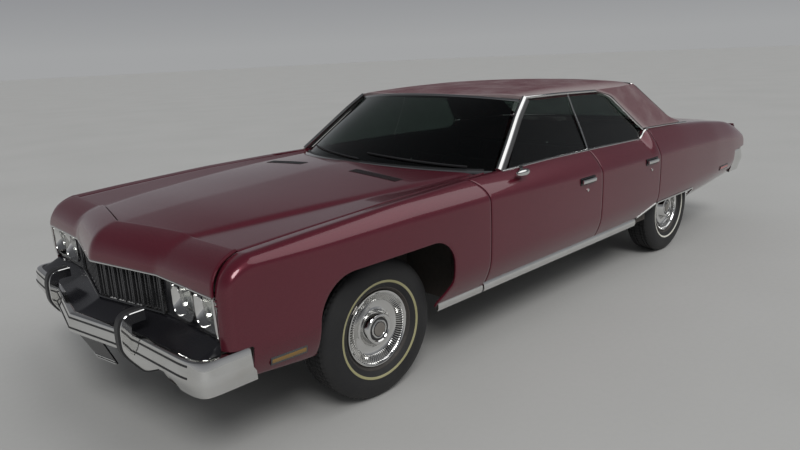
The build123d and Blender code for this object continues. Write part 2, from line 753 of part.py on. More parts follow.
def glass_strip(place, thick):
    centre_x, end_x, z, half_width = place
    front = ThreePointArc((end_x, -half_width), (centre_x, 0), (end_x, half_width))
    back = ThreePointArc((end_x - thick, half_width), (centre_x - thick, 0), (end_x - thick, -half_width))
    ends = [Line((end_x, half_width), (end_x - thick, half_width)),
            Line((end_x - thick, -half_width), (end_x, -half_width))]
    return Plane.XY.offset(z) * make_face([front, ends[0], back, ends[1]])


def fixed_glass():
    windshield = loft([glass_strip(place, shield_thick) for place in (shield_base, shield_top)], ruled=True)
    rear = loft([glass_strip(place, -shield_thick) for place in (backlight_base, backlight_top)], ruled=True)
    save("fixed_glass", [windshield, rear])


def floor_pan():
    outer = tunnel_half_width + tunnel_wall
    tail_x = tail_face_x + tail_sheet + seat_gap
    shape = block(rear_floor_x, firewall_x, -floor_half_width, floor_half_width, floor_z,
                  floor_z + floor_sheet)
    for side in (-1, 1):
        sill = [(side * y, z) for y, z in sill_outline]
        shape += loft([section(door_front_x - 4, sill), section(sill_rear_x, sill)], ruled=True)
    shape += block(rear_floor_x, firewall_x, -outer, outer, floor_z, tunnel_z + tunnel_wall)
    shape += block(rear_floor_x, rear_floor_x + floor_sheet, -floor_half_width, floor_half_width,
                   floor_z, rear_floor_z)
    shape += block(tail_x, rear_floor_x + floor_sheet, 2 - wheelhouse_y, wheelhouse_y - 2,
                   rear_floor_z, rear_floor_z + floor_sheet)
    for y in (-1, 1):
        inner_y = y * (wheelhouse_y - 10)
        y0, y1 = sorted((y * wheelhouse_y, inner_y))
        shape += block(wheelhouse_rear_x, rear_floor_x + floor_sheet, y0, y1, rear_floor_z, wheelhouse_z)
        y0, y1 = sorted((inner_y, y * 940))
        shape += block(wheelhouse_rear_x, rear_floor_x + floor_sheet, y0, y1, wheelhouse_z - 10,
                       wheelhouse_z)
    shape -= block(rear_floor_x - 40, firewall_x + 10, -tunnel_half_width, tunnel_half_width, 0, tunnel_z)
    hinge_x = door_split_x - panel_gap / 2
    post = block(hinge_x - post_depth / 2, hinge_x + post_depth / 2, post_inner_y, post_outer_y,
                 floor_z, post_top_z)
    for z in leaf_z:
        post += block(hinge_x + seat_gap, hinge_x + panel_gap, post_inner_y + 20, leaf_y - 5,
                      z - leaf_height / 2, z + leaf_height / 2)
    for side in both(post):
        shape += side
    save("floor_pan", shape)


def firewall_cowl():
    wall_x = firewall_x + cowl_sheet
    shape = block(firewall_x + seat_gap, wall_x, -firewall_half_width, firewall_half_width, floor_z, cowl_z)
    centre_x, end_x, z, half_width = shield_base
    pillar_y = firewall_half_width - 12
    set_in = cowl_set_in
    cowl = make_face([
        ThreePointArc((end_x - set_in, half_width), (centre_x - set_in, 0), (end_x - set_in, -half_width)),
        Polyline((end_x - set_in, -half_width), (end_x - set_in, -pillar_y), (wall_x, -pillar_y),
                 (wall_x, pillar_y), (end_x - set_in, pillar_y), (end_x - set_in, half_width))])
    low_z = cowl_z - cowl_sheet
    shape += Pos(0, 0, low_z) * extrude(Plane.XY * cowl, cowl_sheet)
    for side in both(block(cowl_arm_x, end_x, half_width, pillar_y, low_z, cowl_z)):
        shape += side
    sill = glass_strip((centre_x, end_x, cowl_z - 2, half_width), shield_thick)
    shape += extrude(sill, z - seat_gap - cowl_z + 2)
    shape -= block(firewall_x - 10, wall_x + 10, -tunnel_half_width, tunnel_half_width, 0, tunnel_z + 40)
    post = block(door_front_x + panel_gap, wall_x, cowl_post_y, firewall_half_width, floor_z + 85, cowl_z)
    for leaf in leaf_z:
        post += block(door_front_x + seat_gap, door_front_x + 20, cowl_post_y, leaf_y,
                      leaf - leaf_height / 2, leaf + leaf_height / 2)
    post += block(*cowl_rest, low_z, cowl_rest_z)
    for side in both(post):
        shape += side
    save("firewall_cowl", shape)


def frame_rails():
    top = floor_z - seat_gap
    rear_top = rear_floor_z - seat_gap
    side_inner_y = rail_outer_y - rail_width
    front_inner_y, front_outer_y = front_rail_y
    rear_inner_y, rear_outer_y = rear_rail_y
    horn_x = frame_front_x - horn_length
    shape = block(rear_box_x[0], front_box_x[1], side_inner_y, rail_outer_y, rail_z, top)
    shape += block(*front_box_x, front_inner_y, rail_outer_y, rail_z, top)
    shape += block(front_box_x[0], frame_front_x, front_inner_y, front_outer_y, rail_z, top)
    shape += block(horn_x, frame_front_x, front_inner_y, front_outer_y, rail_z, bracket_z[1])
    shape += block(*rear_box_x, rear_inner_y, rail_outer_y, rail_z, top)
    shape += block(*rear_box_x, rear_inner_y, rear_outer_y, rail_z, rear_top)
    shape += block(frame_rear_x, rear_box_x[1], rear_inner_y, rear_outer_y, rear_rail_z, rear_top)
    shape = shape + mirror(shape, about=Plane.XZ)
    shape += block(frame_front_x - front_member[0], frame_front_x - front_member[1], -front_outer_y,
                   front_outer_y, rail_z, top)
    shape += block(*mid_member_x, -side_inner_y - 40, side_inner_y + 40, rail_z, top)
    shape += block(frame_rear_x + 20, frame_rear_x + 20 + rear_member, -rear_inner_y - 20, rear_inner_y + 20,
                   rear_rail_z, rear_top)
    save("frame_rails", shape)


def driveline():
    low_z, high_z = engine_z
    mount_low, mount_mid, mount_high = mount_z
    rail_face = front_rail_y[0] - seat_gap
    engine = block(*engine_x, -engine_half_width, engine_half_width, low_z, high_z)
    engine += block(gearbox_rear_x, engine_x[0], -gearbox_half_width, gearbox_half_width, *gearbox_z)
    mount = block(*mount_x, engine_half_width - 10, rail_face, mount_mid, mount_high)
    mount += block(*mount_x, front_rail_y[0] - 50, rail_face, mount_low, mount_high)
    for side in both(mount):
        engine += side
    save("engine", engine)
    reach = rear_track / 2 + rim_width / 2 - hub_face - seat_gap
    axle_place = Pos(rear_axle_x, 0, tyre_radius)
    axle = axle_place * Rot(90, 0, 0) * Cylinder(axle_radius, 2 * reach)
    drum_y = reach - 0.75 * drum_width
    for y in (-drum_y, drum_y):
        axle += axle_place * Pos(0, y, 0) * Rot(90, 0, 0) * Cylinder(drum_radius, drum_width)
    axle += axle_place * Sphere(differential_radius)
    spring_low, spring_high = tyre_radius + 0.9 * axle_radius, rear_rail_z - seat_gap
    spring_y = sum(rear_rail_y) / 2
    for y in (-spring_y, spring_y):
        spring = Cylinder(spring_radius, spring_high - spring_low)
        axle += Pos(rear_axle_x, y, (spring_low + spring_high) / 2) * spring
    shaft_front = gearbox_rear_x - seat_gap
    shaft_place = Pos((shaft_front + rear_axle_x) / 2, 0, tyre_radius) * Rot(0, 90, 0)
    axle += shaft_place * Cylinder(shaft_radius, shaft_front - rear_axle_x)
    save("rear_axle", axle)


def tyre(centre_x, centre_y):
    half = tyre_width / 2
    tread = tread_width / 2
    points = [(bead_radius, half - 34), (bead_radius + 14, half - 22), (bead_radius + 70, half),
              (tyre_radius - 30, half - 8), (tyre_radius - 6, tread), (tyre_radius, tread - 16)]
    profile = points + [(r, -y) for r, y in reversed(points)]
    ring = revolve(Plane.XY * make_face(Polyline(*profile, close=True)), Axis.Y)
    return Pos(centre_x, centre_y, tyre_radius) * ring


def wheel(centre_x, centre_y, side):
    half = rim_width / 2
    seat = bead_radius - seat_gap
    inner = seat - rim_lip + seat_gap
    outer = [(0, half - 14), (62, half - 14), (70, half - 24), (150, half - 20), (inner - 4, half - 2),
             (seat, half), (seat, -half), (inner, -half), (inner, half - 34), (60, half - hub_face),
             (0, half - hub_face)]
    disc = revolve(Plane.XY * make_face(Polyline(*outer, close=True)), Axis.Y)
    if side == "right":
        disc = mirror(disc, about=Plane.XZ)
    return Pos(centre_x, centre_y, tyre_radius) * disc


def wheels():
    for place, x, track in (("front", front_axle_x, front_track), ("rear", rear_axle_x, rear_track)):
        for side, sign in (("left", 1), ("right", -1)):
            y = sign * track / 2
            save(f"tyre_{place}_{side}", tyre(x, y))
            save(f"wheel_{place}_{side}", wheel(x, y, side))


def knuckles():
    face_y = front_track / 2 + rim_width / 2 - hub_face
    hub = Pos(front_axle_x, (kingpin_y + face_y) / 2, tyre_radius) * Rot(90, 0, 0)
    length = face_y - kingpin_y
    shape = hub * Cylinder(hub_radius, length - 2 * seat_gap)
    shape += Pos(front_axle_x, kingpin_y, tyre_radius) * Cylinder(kingpin_radius, 2 * knuckle_reach)
    for side, copy in zip(("left", "right"), both(shape)):
        save(f"knuckle_{side}", copy)


def front_suspension():
    rail_inner = front_rail_y[0] - seat_gap
    rail_outer = front_rail_y[1] + seat_gap
    low_z = tyre_radius - knuckle_reach - seat_gap - arm_sheet
    high_z = tyre_radius + knuckle_reach + seat_gap
    x = front_axle_x
    tip_y = kingpin_y + 26
    shapes = [block(x - 70, x + 70, -rail_inner, rail_inner, rail_z, floor_z)]
    plan = [(x - arm_half_base, rail_outer), (x - arm_half_tip, tip_y), (x + arm_half_tip, tip_y),
            (x + arm_half_base, rail_outer)]
    for z in (low_z, high_z):
        shapes += both(extrude(level(z, plan), arm_sheet))
    shapes += both(block(x - 90, x + 90, rail_outer, rail_outer + 30, low_z, high_z + arm_sheet))
    shape = shapes[0]
    fused = None
    for piece in shapes[1:]:
        fused = piece if fused is None else fused + piece
    save("front_suspension", [shape] + list(fused.solids()))


def cabin():
    dash_top = cowl_z - cowl_sheet - seat_gap
    low_z, step_z, lip_z = dash_z
    dash = [(dash_x[0], dash_top), (dash_x[0], low_z), (dash_x[1], low_z), (dash_x[2], step_z),
            (dash_x[3], lip_z), (dash_x[4], dash_top)]
    save("dashboard", prism_y(dash, -dash_half_width, dash_half_width))
    hub_place = Pos(*wheel_hub) * Rot(0, wheel_lean, 0)
    ring = hub_place * Torus(wheel_ring, wheel_grip)
    ring += hub_place * Box(20, 2 * wheel_ring - 4, 14)
    ring += hub_place * Cylinder(34, 34)
    ring += hub_place * Pos(0, 0, -column_length / 2) * Cylinder(column_radius, column_length)
    dash_room = [(x - seat_gap, z) for x, z in dash]
    save("steering_wheel", ring - prism_y(dash_room, -dash_half_width, dash_half_width))
    foot = floor_z + floor_sheet + seat_gap
    tunnel_y = tunnel_half_width + tunnel_wall + 1
    tunnel = block(-beyond, beyond, -tunnel_y, tunnel_y, 0, tunnel_z + tunnel_wall + seat_gap)
    for name, x in zip(("front_seat", "rear_seat"), seat_places):
        front_x = x + cushion_length
        cushion = [(front_x, foot), (front_x + 10, seat_front_z - 22), (front_x - 30, seat_front_z),
                   (x, cushion_z), (x, foot)]
        back = [(x + 10, cushion_z), (x - 60, seat_back_z - 20), (x - 130, seat_back_z),
                (x - 140, seat_back_z - 20), (x - 116, cushion_z), (x - 60, foot), (x, foot)]
        shape = prism_y(cushion, -seat_half_width, seat_half_width)
        shape += prism_y(back, -seat_half_width, seat_half_width)
        save(name, shape - tunnel)


def exhaust():
    """One pipe with its muffler, which rises over the rear axle and hangs from two cross members."""
    low_z, over_z, tail_z = pipe_z
    places = [pipe_x[1]] + [rear_axle_x + turn for turn in pipe_turns] + [pipe_x[0]]
    heights = (low_z, low_z, over_z, over_z, tail_z, tail_z)
    path = FilletPolyline(*[(x, pipe_y, z) for x, z in zip(places, heights)], radius=pipe_bend)
    pipe = sweep(Plane(origin=path @ 0, z_dir=path % 0) * Circle(pipe_radius), path=path)
    muffler = Pos(sum(muffler_x) / 2, pipe_y, low_z) * Rot(0, 90, 0)
    pipe += muffler * Cylinder(muffler_radius, muffler_x[1] - muffler_x[0])
    half_x, half_y = hanger_size[0] / 2, hanger_size[1] / 2
    rear_member_x = frame_rear_x + 20 + rear_member / 2
    for x, z, top_z in ((sum(mid_member_x) / 2, low_z, rail_z), (rear_member_x, tail_z, rear_rail_z)):
        pipe += block(x - half_x, x + half_x, pipe_y - half_y, pipe_y + half_y, z + pipe_radius - 5,
                      top_z - seat_gap)
    save("exhaust", pipe)


def lower_pieces():
    rail_face = front_rail_y[0] - seat_gap
    radiator_front_x = radiator_x + radiator_depth
    save("radiator", block(radiator_x, radiator_front_x, -rail_face, rail_face, floor_z, radiator_z))
    save("fuel_tank", block(*tank_x, -tank_half_width, tank_half_width, tank_z, rear_floor_z - seat_gap))
    base_z = lines_at(body_lines, mirror_x)[7] + seat_gap
    strut_z = base_z + mirror_foot
    mirror_head = block(mirror_x - mirror_depth / 2, mirror_x + mirror_depth / 2, *mirror_y, strut_z,
                        strut_z + mirror_height)
    mirror_head += block(mirror_x - 14, mirror_x + 14, mirror_y[0] + 6, mirror_y[0] + 29, base_z,
                         strut_z + 4)
    save("door_mirror", mirror_head)
    wall_x = firewall_x + cowl_sheet + seat_gap
    low_z = apron_top_z - apron_sheet
    shelf = []
    for x in stations(body_lines, apron_front_x, wall_x):
        edge_y = lines_at(body_lines, x)[4] - skin - 2 * seat_gap
        shelf.append(section(x, [(apron_y, low_z), (edge_y, low_z), (edge_y, apron_top_z),
                                 (apron_y, apron_top_z)]))
    aprons = block(wall_x, apron_front_x, apron_y, apron_y + apron_sheet, floor_z, apron_top_z)
    aprons += loft(shelf, ruled=True)
    room = [(wheel_room, 0), (wheel_room, floor_z - 10), (wheel_room_top, wheel_room_z)]
    outline = [(front_axle_x - x, z) for x, z in room]
    outline += [(front_axle_x + x, z) for x, z in room[::-1]]
    aprons -= prism_y(outline, 0, beyond)
    save("inner_fenders", both(aprons))


front_fenders()
doors()
side_panes()
hood()
header_panel()
grille_and_bezels()
front_bumper()
rear_bumper()
quarter_panels()
trunk_lid()
tail_panel()
roof_shell()
fixed_glass()
floor_pan()
firewall_cowl()
frame_rails()
driveline()
wheels()
knuckles()
front_suspension()
cabin()
exhaust()
lower_pieces()

os.makedirs("parts", exist_ok=True)
for name, shape in parts.items():
    export_step(shape, f"parts/{name}.step")
print(len(parts), "nodes")
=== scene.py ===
import math

import bpy
import numpy as np
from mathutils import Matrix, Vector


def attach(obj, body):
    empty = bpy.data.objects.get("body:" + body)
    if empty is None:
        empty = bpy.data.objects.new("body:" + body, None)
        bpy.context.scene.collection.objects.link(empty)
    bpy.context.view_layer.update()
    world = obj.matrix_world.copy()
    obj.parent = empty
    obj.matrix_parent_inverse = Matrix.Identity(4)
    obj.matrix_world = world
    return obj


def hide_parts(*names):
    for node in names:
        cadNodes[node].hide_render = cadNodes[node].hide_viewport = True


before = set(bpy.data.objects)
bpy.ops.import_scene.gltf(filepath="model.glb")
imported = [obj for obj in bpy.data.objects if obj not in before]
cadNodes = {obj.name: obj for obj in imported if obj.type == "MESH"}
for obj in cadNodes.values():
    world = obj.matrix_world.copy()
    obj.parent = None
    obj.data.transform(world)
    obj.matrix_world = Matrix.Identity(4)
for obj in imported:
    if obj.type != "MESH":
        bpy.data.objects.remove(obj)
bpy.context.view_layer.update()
print("frame loaded,", len(cadNodes), "nodes")


# Mesh tools. A shape is [points, four-sided faces, other faces, material numbers].


def gridFaces(nu, nv, closedU=False, closedV=False, flip=False):
    # one four-sided face for each cell of a grid of nu by nv points
    u = np.arange(nu if closedU else nu - 1)[:, None]
    v = np.arange(nv if closedV else nv - 1)[None, :]
    nextU, nextV = (u + 1) % nu, (v + 1) % nv
    corners = (u * nv + v, nextU * nv + v, nextU * nv + nextV, u * nv + nextV)
    quads = np.stack(np.broadcast_arrays(*corners), -1).reshape(-1, 4)
    return quads[:, ::-1] if flip else quads


def surface(points, closedU=False, closedV=False, flip=False, caps=False):
    nu, nv = points.shape[:2]
    quads = gridFaces(nu, nv, closedU, closedV, flip)
    ends = []
    if caps:
        first, last = np.arange(nv), (nu - 1) * nv + np.arange(nv)[::-1]
        ends = [first[::-1], last[::-1]] if flip else [first, last]
    return [points.reshape(-1, 3), quads, ends, np.zeros(len(quads), int)]


def grid(x, y, z):
    # points whose coordinates are numbers, rows, columns or whole arrays
    return np.stack(np.broadcast_arrays(x, y, z), -1)


def joined(*shapes):
    points, quads, others, tags, base = [], [], [], [], 0
    for shape in shapes:
        points.append(shape[0])
        quads.append(shape[1] + base)
        others += [face + base for face in shape[2]]
        tags.append(shape[3])
        base += len(shape[0])
    return [np.concatenate(points), np.concatenate(quads), others, np.concatenate(tags)]


def mirrored(shape):
    # the same shape on the other side of the car, its faces turned to point outwards again
    points, quads, others, tags = shape
    return [points * (1, -1, 1), quads[:, ::-1], [face[::-1] for face in others], tags]


def moved(shape, offset):
    return [shape[0] + np.asarray(offset), *shape[1:]]


def addPiece(name, shape, body, looks, slot, stands=(), thickness=0, bevel=0, sharp=35, weld=False, wear=None):
    # looks names one finish, or a finish for each material number of the shape
    points, quads, others, tags = shape
    mesh = bpy.data.meshes.new(name)
    mesh.from_pydata(points.tolist(), [], quads.tolist() + [face.tolist() for face in others])
    for look in (looks,) if isinstance(looks, str) else looks:
        mesh.materials.append(finishes[look])
    mesh.polygons.foreach_set("material_index", np.concatenate([tags, np.zeros(len(others), int)]).astype(int))
    # the attribute given here marks real wear and painted sheen for the finish to read
    if wear is not None:
        mesh.attributes.new("wear", "FLOAT", "POINT").data.foreach_set("value", np.ravel(wear))
    piece = bpy.data.objects.new(name, mesh)
    bpy.context.scene.collection.objects.link(piece)
    if weld:
        piece.modifiers.new("weld", "WELD").merge_threshold = 1e-5
    if thickness:
        modifier = piece.modifiers.new("wall", "SOLIDIFY")
        modifier.thickness, modifier.offset = thickness, -1
    if bevel:
        modifier = piece.modifiers.new("edges", "BEVEL")
        modifier.width, modifier.segments = bevel, 2
        modifier.limit_method, modifier.angle_limit = "ANGLE", math.radians(50)
    if piece.modifiers:
        bake(piece)
        piece.data.name = name
    piece.data.shade_smooth()
    piece.data.set_sharp_from_angle(angle=math.radians(sharp))
    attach(piece, body)
    if stands:
        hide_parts(*stands)
    return piece


def bake(piece):
    # the mesh takes on what its modifiers do, and they go
    bpy.context.view_layer.update()
    finished = bpy.data.meshes.new_from_object(piece.evaluated_get(bpy.context.evaluated_depsgraph_get()))
    piece.modifiers.clear()
    piece.data = finished


def addPair(name, shape, body, looks, slot, stands=(), **settings):
    # a piece on the left and its mirror image on the right; body and stands get the side's name too
    for side in ("left", "right"):
        addPiece(f"{name}_{side}", shape if side == "left" else mirrored(shape),
                 body if body == "body" else f"{body}_{side}", looks, slot, [f"{node}_{side}" for node in stands],
                 **settings)


def softened(values, reach):
    # each row becomes a bell-weighted mean of its neighbours, and the two ends stay where they are
    i = np.arange(len(values))
    width = np.maximum(np.minimum(reach, 0.5 * np.minimum(i, i[::-1])), 1e-3)
    weights = np.exp(-0.5 * ((i[:, None] - i) / width[:, None]) ** 2)
    return np.tensordot(weights / weights.sum(1, keepdims=True), values, 1)


def acrossSoftened(points, reach):
    return np.moveaxis(softened(np.moveaxis(points, 1, 0), reach), 0, 1)


def roundedOutline(corners, steps=7):
    # a closed outline from (a, b, radius) rows, whose corners are arcs that touch both sides
    corners, radii = np.array(corners, float)[:, :2], [corner[2] for corner in corners]
    found = []
    for n, radius in enumerate(radii):
        here, back, ahead = corners[n], corners[n - 1], corners[(n + 1) % len(corners)]
        a, b = (back - here) / np.linalg.norm(back - here), (ahead - here) / np.linalg.norm(ahead - here)
        half = math.acos(np.clip(a @ b, -1, 1)) / 2
        if radius == 0 or half > 1.55:
            found.append(here[None])
            continue
        middle = here + (a + b) / np.linalg.norm(a + b) * radius / math.sin(half)
        start, end = here + a * radius / math.tan(half) - middle, here + b * radius / math.tan(half) - middle
        share = np.linspace(0, 1, steps)[:, None]
        arc = start * (1 - share) + end * share
        found.append(middle + arc / np.linalg.norm(arc, axis=1, keepdims=True) * radius)
    return np.concatenate(found)


def window(middle, half, low, high, radius, steps):
    # a rounded rectangle
    left, right = middle - half, middle + half
    return roundedOutline([(left, low, radius), (right, low, radius), (right, high, radius), (left, high, radius)],
                          steps)


def isInside(points, outline):
    # even and odd crossings of a level line from each point
    a, b = outline, np.roll(outline, -1, 0)
    y, x = points[:, 1:2], points[:, 0:1]
    rising = (a[:, 1] > y) != (b[:, 1] > y)
    slope = (b[:, 0] - a[:, 0]) / np.where(b[:, 1] == a[:, 1], 1e-12, b[:, 1] - a[:, 1])
    return (rising & (x < a[:, 0] + (y - a[:, 1]) * slope)).sum(1) % 2 == 1


def nearestOn(points, outline):
    # the closest point of a closed outline to each point
    a, b = outline, np.roll(outline, -1, 0)
    along = b - a
    share = ((points[:, None] - a) * along).sum(2) / np.maximum((along ** 2).sum(1), 1e-12)
    near = a + np.clip(share, 0, 1)[..., None] * along
    best = ((near - points[:, None]) ** 2).sum(2).argmin(1)
    return near[np.arange(len(points)), best]


def cutSheet(points, outlines, axes=(0, 2), flip=False):
    # a grid with openings: cells that an outline covers go, and the points left along it slide onto it
    nu, nv = points.shape[:2]
    a, b = axes
    third = 3 - a - b
    alongU, alongV = (np.gradient(points, axis=k).reshape(-1, 3) for k in (0, 1))
    flat = points.reshape(-1, 3).copy()
    quads = gridFaces(nu, nv, flip=flip)
    for outline in outlines:
        gone = isInside(flat[:, [a, b]], outline)[quads].any(1)
        edge = np.intersect1d(quads[~gone], quads[gone])
        quads = quads[~gone]
        if not len(edge):
            continue
        goal = nearestOn(flat[edge][:, [a, b]], outline)
        move = goal - flat[edge][:, [a, b]]
        du, dv = alongU[edge], alongV[edge]
        det = du[:, a] * dv[:, b] - du[:, b] * dv[:, a]
        det = np.where(np.abs(det) < 1e-12, 1e-12, det)
        s = (move[:, 0] * dv[:, b] - move[:, 1] * dv[:, a]) / det
        t = (du[:, a] * move[:, 1] - du[:, b] * move[:, 0]) / det
        flat[edge, third] += np.clip(s * du[:, third] + t * dv[:, third], -0.03, 0.03)
        flat[edge, a], flat[edge, b] = goal[:, 0], goal[:, 1]
    used, renumbered = np.unique(quads, return_inverse=True)
    quads = renumbered.reshape(-1, 4)
    return [flat[used], quads, [], np.zeros(len(quads), int)]


def unit(vectors):
    return vectors / np.maximum(np.linalg.norm(vectors, axis=-1, keepdims=True), 1e-9)


def swept(path, profile, outward, closedPath=False, scale=1.0):
    # a closed profile of (across, out) points carried along a path; outward is the direction away from the body
    path, profile = np.asarray(path, float), np.asarray(profile, float)
    outward = np.broadcast_to(np.asarray(outward, float), path.shape)
    ahead = unit(np.roll(path, -1, 0) - np.roll(path, 1, 0)) if closedPath else unit(np.gradient(path, axis=0))
    across = unit(np.cross(outward, ahead))
    out = unit(np.cross(ahead, across))
    size = np.broadcast_to(scale, len(path))[:, None, None]
    points = path[:, None] + (across[:, None] * profile[None, :, 0:1] + out[:, None] * profile[None, :, 1:2]) * size
    return surface(points, closedPath, True, caps=not closedPath)


def turned(profile, centre, steps=96, flip=False, axis=1):
    # a profile of (radius, along) points turned round an axis through centre
    profile = np.asarray(profile, float)
    angle = np.linspace(0, 2 * math.pi, steps, endpoint=False)[:, None]
    points = np.empty((steps, len(profile), 3))
    first, second = [k for k in range(3) if k != axis]
    points[..., first] = np.cos(angle) * profile[:, 0]
    points[..., second] = np.sin(angle) * profile[:, 0]
    points[..., axis] = profile[:, 1]
    return surface(points + np.asarray(centre), closedU=True, flip=flip)


def smoothPath(points, count, reach=3):
    # evenly spread points along straight runs, with the corners rounded
    points = np.asarray(points, float)
    length = np.concatenate([[0], np.cumsum(np.linalg.norm(np.diff(points, axis=0), axis=1))])
    even = np.linspace(0, length[-1], count)
    return softened(np.stack([np.interp(even, length, points[:, k]) for k in range(points.shape[1])], 1), reach)


def rib(width, height, crown=0.6, steps=7):
    # the section of a moulding: flat below, crowned above
    a = np.linspace(math.pi, 0, steps)
    top = np.stack([np.cos(a) * width / 2, height * (1 - crown) + np.sin(a) * height * crown], 1)
    return np.concatenate([[(-width / 2, 0)], top, [(width / 2, 0)]])


def bothSides(half):
    # a section from its half, whose points run from the outer foot in to the middle
    half = np.array(half, float)
    return np.concatenate([half * (-1, 1), half[half[:, 0] > 0][::-1]])


# Materials. A group puts out only masks and heights; the shader stays in each material.


def addNode(tree, kind, values=None, **settings):
    # a shader node with its settings, then the values of its inputs
    node = tree.nodes.new("ShaderNode" + kind)
    for label, value in settings.items():
        setattr(node, label, value)
    for label, value in (values or {}).items():
        node.inputs[label].default_value = value
    return node


def wire(tree, *wires):
    # each wire is a node and its output, and the node and input that it feeds
    for source, output, goal, socket in wires:
        tree.links.new(source.outputs[output], goal.inputs[socket])


def newGroup(name, inputs, outputs):
    group = bpy.data.node_groups.new(name, "ShaderNodeTree")
    for label, value in inputs.items():
        socket = group.interface.new_socket(label, in_out="INPUT", socket_type="NodeSocketFloat")
        socket.default_value = value
    for label in outputs:
        group.interface.new_socket(label, in_out="OUTPUT", socket_type="NodeSocketFloat")
    return group, group.nodes.new("NodeGroupInput"), group.nodes.new("NodeGroupOutput")


def weatherGroup():
    # blotch is a broad stain from 0 to 1, speck a fine one, and height a small waviness
    group, given, result = newGroup("weather", {"broad": 2.0, "fine": 60.0, "cover": 0.5},
                                    ("blotch", "speck", "height"))
    place = addNode(group, "TexCoord")
    for label, size, detail, low, high in (("blotch", "broad", 5, 0.35, 0.75), ("speck", "fine", 3, 0.4, 0.7)):
        noise = addNode(group, "TexNoise", {"Detail": detail})
        spread = addNode(group, "MapRange", {"From Min": low, "From Max": high})
        scaled = addNode(group, "Math", operation="MULTIPLY")
        wire(group, (place, "Object", noise, "Vector"), (given, size, noise, "Scale"),
             (noise, "Fac", spread, "Value"), (spread, "Result", scaled, 0), (given, "cover", scaled, 1),
             (scaled, 0, result, label))
    wire(group, (noise, "Fac", result, "height"))
    return group


def grainGroup():
    # rounded cells of pressed leather or vinyl
    group, given, result = newGroup("grain", {"cells": 300.0}, ("height",))
    place, crease = addNode(group, "TexCoord"), addNode(group, "MapRange", {"From Max": 0.18})
    cells = addNode(group, "TexVoronoi", feature="DISTANCE_TO_EDGE")
    wire(group, (place, "Object", cells, "Vector"), (given, "cells", cells, "Scale"),
         (cells, "Distance", crease, "Value"), (crease, "Result", result, "height"))
    return group


weather, grain = weatherGroup(), grainGroup()


def finish(name, colour, worn, roughness=(0.4, 0.5), metallic=0.0, broad=2.0, fine=60.0, cover=0.5, bump=0.0,
           cells=0, edges=False, **sockets):
    # colour turns to worn where the broad stain lies, and roughness runs between its two values with the specks;
    # edges also turns to worn the places that a piece's own attribute names, which hold real wear and painted sheen
    material = bpy.data.materials.new(name)
    material.use_nodes = True
    tree = material.node_tree
    shader = tree.nodes["Principled BSDF"]
    for label, value in dict(sockets, Metallic=metallic).items():
        shader.inputs[label.replace("_", " ")].default_value = value
    stain = addNode(tree, "Group", {"broad": broad, "fine": fine, "cover": cover}, node_tree=weather)
    mix = addNode(tree, "Mix", {"A": (*colour, 1), "B": (*worn, 1)}, data_type="RGBA")
    gloss = addNode(tree, "MapRange", {"To Min": roughness[0], "To Max": roughness[1]})
    wire(tree, (mix, "Result", shader, "Base Color"), (stain, "speck", gloss, "Value"),
         (gloss, "Result", shader, "Roughness"))
    if edges:
        # the attribute marks where the colour turns to worn: real wear, and painted sheen along the vinyl's edges
        named = addNode(tree, "Attribute", attribute_name="wear")
        most = addNode(tree, "Math", operation="MAXIMUM")
        wire(tree, (named, "Fac", most, 0), (stain, "blotch", most, 1), (most, 0, mix, "Factor"))
    else:
        wire(tree, (stain, "blotch", mix, "Factor"))
    if bump:
        raised = addNode(tree, "Bump", {"Strength": bump, "Distance": 0.002})
        relief = addNode(tree, "Group", {"cells": cells}, node_tree=grain) if cells else stain
        wire(tree, (relief, "height", raised, "Height"), (raised, "Normal", shader, "Normal"))
    return material


